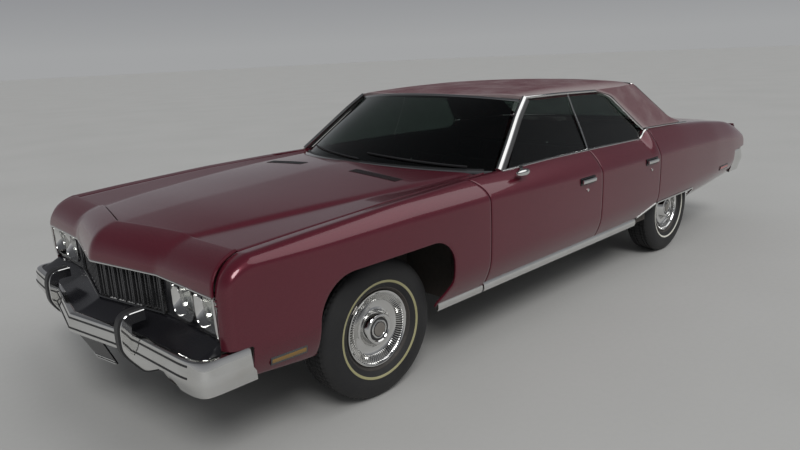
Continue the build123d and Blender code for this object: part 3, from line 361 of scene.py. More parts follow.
finishes = dict(
    paint=finish("maroonPaint", (0.104, 0.010, 0.021), (0.134, 0.016, 0.030), (0.26, 0.36), 0.4, broad=1.1, fine=900,
                 bump=0.03, Coat_Weight=0.8, Coat_Roughness=0.03, Specular_IOR_Level=0.35),
    # the vinyl's grey worn colour is real fading in the random blotches, and painted silver sheen where the edge
    # attribute is high
    vinyl=finish("maroonVinyl", (0.122, 0.044, 0.053), (0.32, 0.262, 0.258), (0.45, 0.7), broad=7, fine=26,
                 cover=0.42, bump=0.5, cells=340, edges=True, Specular_IOR_Level=0.4),
    chrome=finish("brightChrome", (0.74, 0.74, 0.73), (0.6, 0.59, 0.56), (0.05, 0.13), 1.0, broad=9, fine=120),
    rubber=finish("tyreRubber", (0.011, 0.011, 0.012), (0.024, 0.023, 0.022), (0.6, 0.82), broad=7, fine=240,
                  bump=0.25),
    whiteBand=finish("whiteBand", (0.66, 0.65, 0.58), (0.5, 0.47, 0.38), (0.5, 0.7), broad=9, fine=90),
    # the front tyres' band: a darker, yellower copy of the white band, painted shade
    shadedBand=finish("shadedWhiteBand", (0.30, 0.28, 0.14), (0.4, 0.38, 0.24), (0.5, 0.7), broad=9, fine=90),
    trimBlack=finish("blackTrim", (0.012, 0.012, 0.013), (0.03, 0.03, 0.03), (0.4, 0.6), fine=200, bump=0.1),
    panelBlack=finish("glossBlack", (0.008, 0.008, 0.010), (0.016, 0.015, 0.016), (0.12, 0.25), broad=4, fine=160,
                      bump=0.05, Specular_IOR_Level=0.35),
    grilleGrey=finish("grilleGrey", (0.13, 0.13, 0.135), (0.07, 0.07, 0.07), (0.25, 0.4), 0.85, broad=8, fine=160),
    trimCloth=finish("maroonTrim", (0.075, 0.014, 0.018), (0.1, 0.02, 0.026), (0.5, 0.7), broad=5, fine=200,
                     bump=0.35, cells=420),
    underbody=finish("chassisBlack", (0.03, 0.029, 0.028), (0.075, 0.058, 0.045), (0.6, 0.85), broad=3,
                     fine=50, cover=0.8, bump=0.3),
    ironwork=finish("rustyIron", (0.07, 0.05, 0.04), (0.17, 0.08, 0.04), (0.7, 0.9), 0.3, broad=12, fine=90,
                    cover=0.9, bump=0.4),
    steel=finish("dullSteel", (0.34, 0.33, 0.31), (0.2, 0.15, 0.12), (0.35, 0.6), 0.85, broad=8, fine=70, bump=0.1),
    cloth=finish("maroonCloth", (0.09, 0.016, 0.022), (0.13, 0.028, 0.034), (0.75, 0.95), broad=5, fine=400,
                 bump=0.4, Sheen_Weight=0.4),
    dash=finish("dashPlastic", (0.045, 0.022, 0.022), (0.07, 0.04, 0.038), (0.45, 0.65), broad=5, fine=200,
                bump=0.35, cells=500),
    amber=finish("amberLens", (0.21, 0.115, 0.02), (0.15, 0.075, 0.016), (0.1, 0.25), fine=300, bump=0.2,
                 Coat_Weight=0.6),
    redLens=finish("redLens", (0.42, 0.01, 0.012), (0.3, 0.008, 0.01), (0.1, 0.2), fine=300, bump=0.1,
                   Coat_Weight=0.8),
    glass=finish("tintedGlass", (0.17, 0.215, 0.195), (0.15, 0.19, 0.17), (0.0, 0.03), broad=2, fine=30,
                 Transmission_Weight=1.0, IOR=1.45),
    lampGlass=finish("lampGlass", (0.93, 0.94, 0.92), (0.86, 0.87, 0.82), (0.02, 0.08), fine=60, bump=0.2,
                     Transmission_Weight=1.0, IOR=1.45),
)
print("finishes made")


# Body lines, in metres. Every outer panel is read from these.
bodyLines = dict(
    # x, then y and z of the sill, the middle and the crease
    side=[(2.64, 0.920, 0.408, 0.958, 0.560, 0.964, 0.846), (2.57, 0.928, 0.405, 0.968, 0.560, 0.975, 0.848),
          (2.173, 0.938, 0.372, 0.998, 0.560, 1.000, 0.849), (1.6, 0.938, 0.360, 1.008, 0.560, 1.008, 0.853),
          (1.021, 0.938, 0.360, 1.0095, 0.560, 1.0095, 0.854), (0.324, 0.938, 0.360, 1.0095, 0.560, 1.0095, 0.836),
          (-0.235, 0.938, 0.360, 1.0095, 0.560, 1.0095, 0.822), (-0.931, 0.938, 0.372, 1.0095, 0.560, 1.0095, 0.818),
          (-1.415, 0.938, 0.385, 1.009, 0.560, 1.009, 0.814), (-2.025, 0.932, 0.425, 1.002, 0.570, 1.002, 0.798),
          (-2.434, 0.925, 0.455, 0.985, 0.590, 0.985, 0.764), (-2.64, 0.918, 0.480, 0.968, 0.610, 0.968, 0.742),
          (-2.82, 0.906, 0.510, 0.945, 0.610, 0.945, 0.715)],
    # x, y, z of the crest that the lids, glass and vinyl meet
    crestFront=[(2.64, 0.922, 0.878), (2.57, 0.925, 0.884), (2.173, 0.932, 0.912), (1.6, 0.930, 0.943),
                (1.021, 0.908, 0.958), (0.324, 0.900, 0.962), (-0.235, 0.900, 0.956), (-0.80, 0.900, 0.945)],
    crestDoorRear=[(0.1, 0.900, 0.960), (-0.235, 0.900, 0.956), (-0.825, 0.900, 0.945), (-0.885, 0.898, 1.000),
                   (-1.0, 0.896, 1.003)],
    crestRear=[(-0.8, 0.896, 1.006), (-1.415, 0.900, 0.992), (-2.025, 0.900, 0.950), (-2.434, 0.900, 0.908),
               (-2.64, 0.900, 0.850), (-2.82, 0.897, 0.757)],
    shoulderBulge=0.011, sideBulge=0.003, gap=0.008)
hoodLines = [  # x, edge y, centre z, crease y, crease z
    (2.60, 0.862, 0.889, 0.428, 0.879), (2.421, 0.862, 0.908, 0.463, 0.888), (2.184, 0.864, 0.931, 0.530, 0.910),
    (1.822, 0.862, 0.950, 0.605, 0.929), (1.302, 0.850, 0.985, 0.700, 0.948), (0.78, 0.822, 0.999, 0.745, 0.957)]


def linesAt(table, x, reach=6):
    # a table's columns at x, its straight runs first softened along the car
    table = np.array(sorted(table))
    fine = np.arange(table[0, 0], table[-1, 0], 0.01)
    columns = softened(np.stack([np.interp(fine, table[:, 0], table[:, k]) for k in range(1, table.shape[1])], 1),
                       reach)
    return [np.interp(x, fine, columns[:, k]) for k in range(columns.shape[1])]


def sideSheet(x, crest, seamY, seamDrop=0.006, bottom=None, crestReach=6):
    # rows along the car, columns from the sill up over the crease and crest to the seam of a lid
    lowY, lowZ, midY, midZ, creaseY, creaseZ = (c[:, None] for c in linesAt(bodyLines["side"], x))
    crestY, crestZ = (c[:, None] for c in linesAt(crest, x, crestReach))
    seamY = np.broadcast_to(seamY, x.shape)[:, None]
    bottom = lowZ if bottom is None else np.broadcast_to(bottom, x.shape)[:, None]
    t = np.linspace(0, 1, 17)[None, :-1]
    z = bottom + (midZ - bottom) * t
    parts = [(midY - (midY - lowY) * ((midZ - z) / (midZ - lowZ)) ** 2, z)]
    t = np.linspace(0, 1, 30)[None, :-1]
    parts.append((midY + (creaseY - midY) * t + bodyLines["sideBulge"] * 4 * t * (1 - t), midZ + (creaseZ - midZ) * t))
    t = np.linspace(0, 1, 16)[None, :-1]
    runY, runZ = crestY - creaseY, crestZ - creaseZ
    length = np.hypot(runY, runZ)
    bulge = bodyLines["shoulderBulge"] * 4 * t * (1 - t) / length
    parts.append((creaseY + runY * t + runZ * bulge, creaseZ + runZ * t - runY * bulge))
    t = np.linspace(0, 1, 8)[None, :]
    parts.append((crestY + (seamY - crestY) * t, crestZ - seamDrop * t))
    y, z = (np.concatenate([part[k] for part in parts], 1) for k in (0, 1))
    return acrossSoftened(grid(x[:, None], y, z), 1.2)


def sideAt(x, z):
    # how far out the body's side stands at x and z, up to its crease
    lowY, lowZ, midY, midZ, creaseY, creaseZ = linesAt(bodyLines["side"], x)
    below = midY - (midY - lowY) * (np.clip(midZ - z, 0, 1) / (midZ - lowZ)) ** 2
    return below + (creaseY - midY) * np.clip((z - midZ) / (creaseZ - midZ), 0, 1)


def bent(a, b, c, t):
    # the curve from a to c that b pulls towards itself
    return a * (1 - t) ** 2 + 2 * b * t * (1 - t) + c * t ** 2


def roundedNose(points, fall):
    # the side curls inwards on a quarter round, and the top falls with the header beside it
    radius = panels["noseRound"]
    over = np.clip((points[:, :1, 0] - panels["fenderFront"] + radius) / radius, 0, 0.985)
    inward = radius * (1 - np.sqrt(1 - over ** 2))
    across = np.gradient(points, axis=1)
    sideways = np.clip(across[..., 2] / np.hypot(across[..., 1], across[..., 2]), 0, 1)
    low, high = panels["fallZ"]
    share = np.clip((points[..., 2] - low) / (high - low), 0, 1) ** 2
    points = points.copy()
    points[..., 1] -= inward * sideways
    points[..., 2] -= fall[:, None] * share
    return points


def frontGapX(z):
    # the gap between fender and door, which leans forward near the belt
    x, lean, low, high = panels["frontGap"]
    return x + lean * np.clip((z - low) / (high - low), 0, 1) ** 2


def shearedEnd(points, end, start, shift):
    # the columns near one end slide along the car so that the end follows the front door's gap
    share = np.clip((points[..., 0] - start) / (end - start), 0, 1)
    points = points.copy()
    points[..., 0] += share * (frontGapX(points[..., 2]) + shift - end)
    return points


panels = dict(wall=0.010, edge=0.0018, fenderFront=2.568, fenderRows=106, noseRound=0.055, fallZ=(0.50, 0.84),
              # x, lean, and the heights between which the gap leans
              frontGap=(1.032, 0.06, 0.87, 0.96), doorFront=1.028, split=-0.110, doorRear=-0.930, doorBottom=0.394,
              # x and z from the hood's front edge down to the grille's top edge, at the fender
              headerCurve=((2.429, 0.887), (2.560, 0.862), (2.568, 0.750)), headerSpread=0.046,
              beltSeam=0.868, tailSeam=0.892, quarterRear=-2.752, backPanelFront=-1.600, deckFront=-1.830,
              deckRear=-2.640, deckHalf=0.745, deckCrown=0.014, deckLift=0.008)
# openings as x, z and corner radius
archOutline = roundedOutline([(2.150, 0.2, 0), (2.150, 0.716, 0.19), (1.318, 0.722, 0.15), (1.318, 0.480, 0.06),
                              (1.403, 0.380, 0.04), (1.403, 0.2, 0)], 14)
bumperPocket = roundedOutline([(2.458, 0.2, 0), (2.458, 0.538, 0.012), (2.9, 0.538, 0), (2.9, 0.2, 0)])
rearOpening = roundedOutline([(-0.690, 0.30, 0), (-0.704, 0.398, 0.02), (-0.925, 0.468, 0.12), (-1.662, 0.470, 0.03),
                              (-1.592, 0.402, 0.02), (-1.560, 0.30, 0)], 9)
rearPocket = roundedOutline([(-2.480, 0.3, 0), (-2.480, 0.656, 0.012), (-2.9, 0.668, 0), (-2.9, 0.3, 0)])


def bodySides():
    gap, frontX, rearX = bodyLines["gap"], panels["doorFront"], panels["doorRear"]
    (tipX, tipZ), rows = panels["headerCurve"][0], panels["fenderRows"]
    curve = bent(*np.array(panels["headerCurve"]), np.linspace(0, 1, 30)[1:, None])
    x = np.concatenate([np.linspace(frontX + gap, tipX, rows), curve[:, 0]])
    fall = np.concatenate([np.zeros(rows), tipZ - curve[:, 1]])
    spread = np.clip((x - tipX) / (panels["fenderFront"] - tipX), 0, 1) ** 2
    hoodEdge = linesAt(hoodLines, x)[0] + panels["headerSpread"] * spread
    fender = roundedNose(sideSheet(x, bodyLines["crestFront"], hoodEdge + gap), fall)
    fender = shearedEnd(fender, frontX + gap, 1.6, gap / 2)
    sheets = {"front_fender": cutSheet(fender, [archOutline, bumperPocket], flip=True)}

    x = np.linspace(panels["split"] + gap / 2, frontX, 84)
    door = sideSheet(x, bodyLines["crestFront"], panels["beltSeam"], 0.002, panels["doorBottom"])
    sheets["door_front"] = surface(shearedEnd(door, frontX, 0.5, -gap / 2), flip=True)
    x = np.linspace(rearX, panels["split"] - gap / 2, 62)
    door = sideSheet(x, bodyLines["crestDoorRear"], panels["beltSeam"], 0.002, panels["doorBottom"], crestReach=1.5)
    sheets["door_rear"] = cutSheet(door, [rearOpening], flip=True)

    x = np.linspace(panels["quarterRear"], rearX - gap, 140)
    seam = np.where(x > panels["deckRear"] - gap, panels["deckHalf"] + gap, panels["tailSeam"])
    quarter = sideSheet(x, bodyLines["crestRear"], seam, -0.008)
    sheets["quarter_panel"] = cutSheet(quarter, [rearOpening, rearPocket], flip=True)
    for node, sheet in sheets.items():
        addPair(f"{node}_skin", sheet, node if "door" in node else "body", "paint", "body_paint", [node],
                thickness=panels["wall"], bevel=panels["edge"])


bodySides()
print("body sides made")


hoodPlan = dict(tipX=2.532, cornerX=2.421, cornerY=0.463, rearX=1.140, rearSideX=0.830, rearHalf=0.860,
                step=0.045, stepDrop=0.010, wall=0.018, edge=0.0025,
                # two fields of slots ahead of the windshield, drawn as black strips of painted shade
                louvres=27, louvreY=(0.234, 0.598), louvreX=(1.262, 1.322), louvreRib=(0.0085, 0.0016))


def hoodHeight(x, y):
    # a ridge on the centreline, a step down outside each crease, and a flat beside the fender
    edgeY, centreZ, creaseY, creaseZ = linesAt(hoodLines, x)
    edgeZ = linesAt(bodyLines["crestFront"], x)[1] - 0.006
    y, width, drop = np.abs(y), hoodPlan["step"], hoodPlan["stepDrop"]
    inner = np.clip(y / creaseY, 0, 1)
    top = creaseZ + (centreZ - creaseZ) * (1 - 0.55 * inner - 0.45 * inner ** 2)
    step = np.clip((y - creaseY) / width, 0, 1)
    outer = np.clip((y - creaseY - width) / np.maximum(edgeY - creaseY - width, 0.01), 0, 1)
    return np.where(y < creaseY, top, creaseZ + (edgeZ - drop - creaseZ) * step + drop * outer)


def hoodFront(y):
    y = np.abs(y)
    lean = (hoodPlan["tipX"] - hoodPlan["cornerX"]) * np.clip(1 - y / hoodPlan["cornerY"], 0, 1)
    return hoodPlan["cornerX"] + lean


def hoodRear(y):
    # the arc through the centre and the two side points
    sag = hoodPlan["rearX"] - hoodPlan["rearSideX"]
    radius = (hoodPlan["rearHalf"] ** 2 + sag ** 2) / (2 * sag)
    return hoodPlan["rearX"] - radius + np.sqrt(radius ** 2 - y ** 2)


def makeHood():
    # rows from rear to front, and columns that keep to the creases: 0 the middle, 1 the crease, 2 its foot, 3 the edge
    along = np.linspace(0, 1, 112)[:, None]
    steps = np.concatenate([np.linspace(0, 1, 34)[:-1], np.linspace(1, 2, 8)[:-1], np.linspace(2, 3, 14)])
    steps = np.concatenate([-steps[:0:-1], steps])[None, :]
    x = hoodRear(0) + (hoodFront(0) - hoodRear(0)) * along + 0 * steps
    for _ in range(4):
        edgeY, _, creaseY, _ = linesAt(hoodLines, x)
        stops = np.stack([0 * creaseY, creaseY, creaseY + hoodPlan["step"], edgeY], -1)
        whole = np.minimum(np.abs(steps).astype(int), 2)[..., None] + np.zeros(x.shape, int)[..., None]
        lower, upper = np.take_along_axis(stops, whole, -1), np.take_along_axis(stops, whole + 1, -1)
        y = np.sign(steps) * (lower[..., 0] + (upper - lower)[..., 0] * (np.abs(steps) - whole[..., 0]))
        x = hoodRear(y) + (hoodFront(y) - hoodRear(y)) * along
    points = acrossSoftened(grid(x, y, hoodHeight(x, y)), 0.9)
    addPiece("hood_skin", surface(points), "hood", "paint", "body_paint", ["hood"], hoodPlan["wall"], hoodPlan["edge"])
    x = np.array(hoodPlan["louvreX"])
    for n, sign in enumerate((1, -1)):
        slotShades = []
        for y in sign * np.linspace(*hoodPlan["louvreY"], hoodPlan["louvres"]):
            path = smoothPath(grid(x, y, hoodHeight(x, y) + 0.0008), 5, 0)
            slotShades.append(swept(path, rib(*hoodPlan["louvreRib"]), (0, 0, 1)))
        # the slots' black is painted shade of their openings
        addPiece(f"cowl_slot_shades_{n}", joined(*slotShades), "hood", "trimBlack", "dash_black")


makeHood()


nose = dict(tipX=2.681, cornerX=2.578, cornerY=0.458, sideX=2.568, halfWidth=0.925, topZ=0.752, bottomZ=0.572,
            headerHalf=(0.867, 0.913), lampY=(0.640, 0.828), lampZ=0.676, trim=(0.012, 0.008))


def noseX(y):
    y = np.abs(y)
    return np.interp(y, [0, nose["cornerY"], nose["halfWidth"]], [nose["tipX"], nose["cornerX"], nose["sideX"]])


def makeHeader():
    # a bulged strip from the hood's front edge down to the top of the grille
    across = np.linspace(-1, 1, 141)[None, :]
    down = np.linspace(0, 1, 26)[:, None]
    narrow, wide = nose["headerHalf"]
    y = across * (narrow + (wide - narrow) * down)
    topX, lowX = hoodFront(y) + bodyLines["gap"], noseX(y)
    topZ = hoodHeight(topX, y)
    points = grid(bent(topX, lowX - 0.008, lowX, down), y, bent(topZ, topZ - 0.026, nose["topZ"], down))
    addPiece("header_skin", surface(acrossSoftened(points, 1.0), flip=True), "body", "paint", "body_paint",
             ["header_panel"], 0.012, 0.002)


makeHeader()


def makeDeck():
    # crowned sheets between the quarter panels: the trunk lid, and the panel between it and the rear glass
    gap, half, crown, front = bodyLines["gap"], panels["deckHalf"], panels["deckCrown"], panels["deckFront"]
    for name, node, body, x0, x1, half in (
            ("trunk_lid_skin", "trunk_lid", "trunk_lid", panels["deckRear"], front, half),
            ("back_panel_skin", "upper_back_panel", "body", front + gap, panels["backPanelFront"], half + gap)):
        x, y = np.linspace(x0, x1, 46)[:, None], np.linspace(-half, half, 60)[None, :]
        z = linesAt(bodyLines["crestRear"], x)[1] + panels["deckLift"] + crown * (1 - (y / half) ** 2)
        addPiece(name, surface(grid(x, y, z)), body, "paint", "body_paint", [node], 0.014, 0.002)


makeDeck()


# profile as x and z; face is x at the two heights of faceZ
tail = dict(profile=[(-2.648, 0.858), (-2.668, 0.846), (-2.700, 0.800), (-2.718, 0.662), (-2.718, 0.522)],
            half=0.889, lampY=(0.380, 0.545, 0.710), lampHalf=0.066, lampZ=(0.680, 0.760), corner=0.008,
            faceZ=(0.662, 0.800), face=(-2.718, -2.700), rim=(0.009, 0.006), lensIn=0.002, ribPitch=0.0066,
            ribDepth=0.0012)


def makeTail():
    # the face under the lid, a bowed strip with three lamps on each side
    profile = smoothPath(tail["profile"], 34, 1.5)
    points = grid(profile[None, :, 0], np.linspace(-tail["half"], tail["half"], 130)[:, None], profile[None, :, 1])
    half, (low, high), inset = tail["lampHalf"], tail["lampZ"], tail["lensIn"]
    windows, lamps, rims = [], [], []
    for middle in [sign * y for y in tail["lampY"] for sign in (1, -1)]:
        outline = window(middle, half, low, high, tail["corner"], 5)
        windows.append(outline)
        lean = np.interp(outline[:, 1], tail["faceZ"], tail["face"]) - 0.0005
        rims.append(swept(grid(lean, *outline.T), rib(*tail["rim"]), (-1, 0, 0.1), closedPath=True))
        y = np.linspace(middle - half + inset, middle + half - inset, 44)[:, None]
        z = np.linspace(low + inset, high - inset, 14)[None, :]
        ribs = tail["ribDepth"] * np.cos((y - middle) * 2 * math.pi / tail["ribPitch"])
        lamps.append(surface(grid(np.interp(z, tail["faceZ"], tail["face"]) + 0.006 - ribs, y, z), flip=True))
    addPiece("tail_skin", cutSheet(points, windows, (1, 2), flip=True), "body", "paint", "body_paint", ["tail_panel"],
             0.012, 0.0015)
    addPiece("tail_lamp_rims", joined(*rims), "body", "chrome", "bright_trim")
    addPiece("tail_lamp_lenses", joined(*lamps), "body", "redLens", "tail_lens", ["tail_lamps"], 0.012)


makeTail()
print("hood, nose and tail made")


roofLines = [  # x, centre z, shoulder y, shoulder z, rail y, rail z
    (0.60, 1.332, 0.550, 1.328, 0.680, 1.316), (0.500, 1.340, 0.560, 1.334, 0.700, 1.318),
    (0.340, 1.350, 0.565, 1.343, 0.738, 1.322), (0, 1.366, 0.572, 1.357, 0.746, 1.320),
    (-0.440, 1.372, 0.575, 1.362, 0.748, 1.308), (-0.760, 1.371, 0.575, 1.358, 0.741, 1.300),
    (-0.870, 1.366, 0.570, 1.351, 0.735, 1.301), (-1.060, 1.346, 0.555, 1.333, 0.690, 1.307),
    (-1.130, 1.336, 0.548, 1.325, 0.672, 1.306)]
sailLines = [  # z, front x, ridge x, ridge y, glass x, glass y
    (1.306, -0.42, -0.850, 0.736, -1.077, 0.686), (1.290, -0.46, -0.890, 0.741, -1.104, 0.690),
    (1.258, -0.607, -0.975, 0.755, -1.159, 0.696), (1.165, -0.703, -1.138, 0.795, -1.318, 0.715),
    (1.057, -0.824, -1.310, 0.848, -1.503, 0.739), (1.014, -0.872, -1.400, 0.870, -1.577, 0.748),
    (0.970, -0.910, -1.590, 0.895, -1.652, 0.800)]
vinylEdge = [(-0.80, 1.008), (-0.949, 1.008), (-1.416, 0.994), (-1.70, 0.981)]  # x, z of its lower edge


def sideY(z):
    # the lean of the side glass and the pillars
    return np.interp(z, [0.940, 1.080, 1.205, 1.310], [0.908, 0.845, 0.785, 0.744])


def vinylFoot(x):
    # the height of the vinyl's lower edge
    return np.interp(x, *np.array(vinylEdge[::-1]).T)


def windshieldTop(y):
    return 0.505 - 0.31 * y ** 2


def makeRoof():
    v = np.linspace(-1, 1, 91)[None, :]
    u = np.linspace(0, 1, 97)[:, None]
    x = windshieldTop(v * 0.70) + u * (-1.087 - windshieldTop(v * 0.70)) + 0 * v
    for _ in range(3):
        _, shoulderY, _, railY, _ = linesAt(roofLines, x, 9)
        y = v * railY
        front = windshieldTop(y) - 0.004
        x = front + u * (-1.090 + 0.012 * (y / 0.69) ** 2 - front)
    centreZ, shoulderY, shoulderZ, railY, railZ = linesAt(roofLines, x, 9)
    inner = np.clip(np.abs(y) / shoulderY, 0, 1)
    outer = np.clip((np.abs(y) - shoulderY) / (railY - shoulderY), 0, 1)
    slope = 2 * (centreZ - shoulderZ) / shoulderY * (railY - shoulderY)
    drop = shoulderZ - railZ
    z = centreZ - (centreZ - shoulderZ) * inner ** 2 - slope * outer - (drop - slope) * outer ** 2
    # grey along the rails and at the front edge: painted silver sheen there, partly real wear
    wear = np.maximum(np.clip(outer * 1.6 - 0.5, 0, 0.9), np.clip(0.7 - u * 22, 0, 1))
    points = grid(x, y, z)
    addPiece("roof_vinyl", surface(points, flip=True), "body", "vinyl", "vinyl_roof", ["roof_shell"], 0.020, 0.003,
             wear=wear)
    below = points[::2, ::2] - (0, 0, 0.0215)
    addPiece("headliner", surface(below, flip=True), "body", "trimCloth", "vinyl_roof", (), 0.004)


def makeSails():
    # rows from the rail down to the vinyl's lower edge, each from the side glass round to the rear glass
    rows, columns = np.linspace(0, 1, 36)[:, None], np.linspace(0, 2, 53)[None, :]
    table = np.array(sailLines[::-1])
    top = table[-1, 0]
    z = top - rows * 0.31 + 0 * columns
    for _ in range(5):
        front, ridgeX, ridgeY, glassX, glassY = (np.interp(z, table[:, 0], table[:, k]) for k in range(1, 6))
        first, second = np.clip(columns, 0, 1), np.clip(columns - 1, 0, 1)
        x = front + (ridgeX - front) * first + (glassX - ridgeX) * second
        y = sideY(z) + (ridgeY - sideY(z)) * first + (glassY - ridgeY) * second
        z = top - rows * (top - vinylFoot(x))
    points = softened(acrossSoftened(grid(x, y, z), 2.6), 1.5)
    # greyer at the front edge and the foot, and a little all over: painted sheen, partly real wear
    wear = np.clip(0.75 - columns * 4.5, 0, 1) + np.clip((rows - 0.96) * 12, 0, 0.5) + 0.12
    addPair("sail_vinyl", surface(points, flip=True), "body", "vinyl", "vinyl_roof", thickness=0.016, bevel=0.002,
            wear=wear)


makeRoof()
makeSails()
print("roof made")


glassPlan = dict(thickness=0.006, doorThickness=0.005, shieldHalf=(0.842, 0.674), headZ=1.334, bulge=0.022,
                 rearBulge=0.0176, splitGap=0.007, doorFoot=0.012, doorHead=0.015, doorIn=0.010, doorBow=0.006,
                 doorFront=0.712, doorRear=-0.872,
                 # outlines of the doors' glass as x, z and corner radius
                 front=[(-0.2, 1.4, 0), (0.300, 1.4, 0), (0.304, 1.310, 0.02), (0.712, 0.969, 0), (0.712, 0.93, 0),
                        (-0.2, 0.93, 0)],
                 rear=[(0, 1.4, 0), (-0.40, 1.4, 0), (-0.430, 1.288, 0.03), (-0.590, 1.252, 0.06),
                       (-0.712, 1.146, 0.08), (-0.836, 1.035, 0), (-0.872, 0.985, 0), (-0.872, 0.93, 0),
                       (0, 0.93, 0)])


def shieldFoot(y, ahead=0.0, lift=0.0):
    # the curve along the foot of the windshield
    return grid(1.084 - 0.278 * y ** 2 - 0.168 * y ** 4 + ahead, y, 0.962 - 0.031 * y ** 2 + lift)


def shieldHead(y, ahead, lift=0.0):
    fall = 0.033 * (y / glassPlan["shieldHalf"][1]) ** 2
    return grid(windshieldTop(y) + ahead, y, glassPlan["headZ"] + lift - fall)


def rearFoot(share, back=0.0, wide=0.0):
    # the lower edge of the rear glass
    return grid(-1.655 - back + 0.047 * share ** 2, share * (0.752 + wide), 1.0)


def rearHead(share, back=0.0, wide=0.0, lift=0.0):
    return grid(-1.090 - back + 0.013 * share ** 2, share * (0.686 + wide), 1.340 + lift - 0.033 * share ** 2)


def fixedPane(base, top, bulge, flip):
    # a sheet between two curves, bowed outwards in the middle
    up = np.linspace(0, 1, 24)[:, None, None]
    points = base[None] * (1 - up) + top[None] * up
    along, across = np.gradient(points, axis=0), np.gradient(points, axis=1)
    out = unit(np.cross(along, across)) * (1 if flip else -1)
    share = np.linspace(-1, 1, base.shape[0])[None, :, None]
    return points + out * bulge * 4 * up * (1 - up) * (1 - share ** 4)


def makeGlass():
    plan, share = glassPlan, np.linspace(-1, 1, 60)
    foot, head = (share * half for half in plan["shieldHalf"])
    shield = fixedPane(shieldFoot(foot), shieldHead(head, 0.002), plan["bulge"], False)
    rear = fixedPane(rearFoot(share), rearHead(share), plan["rearBulge"], True)
    addPiece("windshield_pane", surface(shield), "body", "glass", "tinted_glass", ["fixed_glass"], plan["thickness"],
             sharp=60)
    addPiece("rear_pane", surface(rear, flip=True), "body", "glass", "tinted_glass", (), plan["thickness"], sharp=60)
    split, gap = panels["split"], plan["splitGap"]
    for place, start, end in (("front", split + gap, plan["doorFront"]), ("rear", plan["doorRear"], split - gap)):
        x = np.linspace(start, end, 70)[:, None]
        headZ = linesAt(roofLines, x, 9)[4] - plan["doorHead"]
        footZ = linesAt(bodyLines["crestFront"], x)[1] - plan["doorFoot"]
        z = footZ + (headZ - footZ) * np.linspace(0, 1, 40)[None, :]
        y = sideY(z) - plan["doorIn"] - plan["doorBow"] * np.cos(math.pi * (z - 1.13) / 0.36)
        # the outline turned inside out: a far frame joined to it, so that what lies outside the glass is cut away
        edge = roundedOutline(plan[place])
        far = np.array([(start - 1, 0.5), (start - 1, 2), (end + 1, 2), (end + 1, 0.5)])
        outside = np.concatenate([edge, edge[:1], far, far[:1]])
        addPair(f"door_glass_{place}_pane", cutSheet(grid(x, y, z), [outside], flip=True), f"door_{place}", "glass",
                "tinted_glass", [f"door_glass_{place}"], thickness=plan["doorThickness"], sharp=60)


makeGlass()
print("glass made")


tyreSize = dict(radius=0.346, halfWidth=0.102, bead=0.190, bandIn=0.229, bandOut=0.241, groove=0.007, sipes=76,
                sipeDepth=0.004, lands=((0.064, 0.052), (0.045, 0.026), (0.019, 0.006)))
coverSize = dict(halfWidth=0.079, ribIn=0.136, ribOut=0.170, ribs=84, ribDepth=0.005,
                 # radius, and how far out it stands from the cover's edge
                 rolled=[(0.183, -0.032), (0.187, -0.018), (0.188, -0.008), (0.185, -0.002), (0.180, -0.001),
                         (0.175, -0.004), (0.172, -0.009)],
                 ribbedDepth=(-0.011, -0.026),
                 dish=[(0.132, -0.029), (0.115, -0.033), (0.100, -0.034), (0.092, -0.031), (0.087, -0.024),
                       (0.078, 0.0), (0.073, 0.006), (0.067, 0.008), (0.062, 0.0075), (0.058, 0.004),
                       (0.0565, 0.002), (0.046, 0.002), (0.0445, 0.005), (0.041, 0.0065), (0.0375, 0.005),
                       (0.036, 0.003), (0.034, 0.003), (0.0335, 0.006), (0.030, 0.008), (0.012, 0.009),
                       (0.0, 0.009)],
                 darkRings=((0.046, 0.057), (0.0337, 0.0365)), hub=0.0325)
rimProfile = [(0.186, 0.040), (0.188, 0.062), (0.192, 0.068), (0.200, 0.072), (0.206, 0.078), (0.205, 0.083),
              (0.200, 0.082), (0.188, 0.066), (0.178, 0.050), (0.178, 0.0), (0.178, -0.070), (0.200, -0.074),
              (0.204, -0.079), (0.196, -0.079), (0.172, -0.066), (0.168, 0.0), (0.168, 0.030), (0.060, 0.036),
              (0.0, 0.036)]
valve = dict(profile=[(0.0, -0.001), (0.009, 0.0), (0.011, 0.003), (0.012, 0.003), (0.012, -0.004)],
             place=(-0.070, 0.0625, -0.138))
axles = dict(front=(1.745, 0.814), rear=(-1.341, 0.813))


def tyreShape():
    # the section from the inner bead over the tread to the outer bead, turned round the axle
    size = tyreSize
    half, radius, low, high = size["halfWidth"], size["radius"], size["bandIn"], size["bandOut"]
    outer = [(size["bead"], half - 0.034), (size["bead"] + 0.012, half - 0.022), (0.222, half - 0.009),
             (0.227, half - 0.006), (low, half - 0.0045), (high, half - 0.0018), (0.246, half - 0.003), (0.262, half),
             (0.290, half - 0.001), (0.316, half - 0.008), (0.330, half - 0.017), (0.339, half - 0.026),
             (0.3435, half - 0.036)]
    for a, b in size["lands"]:
        foot = radius - size["groove"]
        outer += [(radius, a), (radius, b), (foot, b - 0.0015), (foot, b - 0.0055)]
    outer = outer[:-2]
    profile = np.array(outer + [(r, -y) for r, y in reversed(outer)])
    steps = size["sipes"] * 4
    angle = np.linspace(0, 2 * math.pi, steps, endpoint=False)[:, None]
    radii = np.tile(profile[:, 0], (steps, 1))
    onTread = (profile[:, 0] > radius - 0.004) & (np.abs(profile[:, 1]) < half - 0.03)
    radii[::4, onTread] -= size["sipeDepth"]
    shape = surface(grid(np.cos(angle) * radii, profile[:, 1], np.sin(angle) * radii), closedU=True)
    within = np.abs(profile[:, 0] - (low + high) / 2) < (high - low) * 0.51
    band = within[:-1] & within[1:] & (profile[:-1, 1] > 0)
    shape[3] = np.tile(band.astype(int), steps)
    return shape


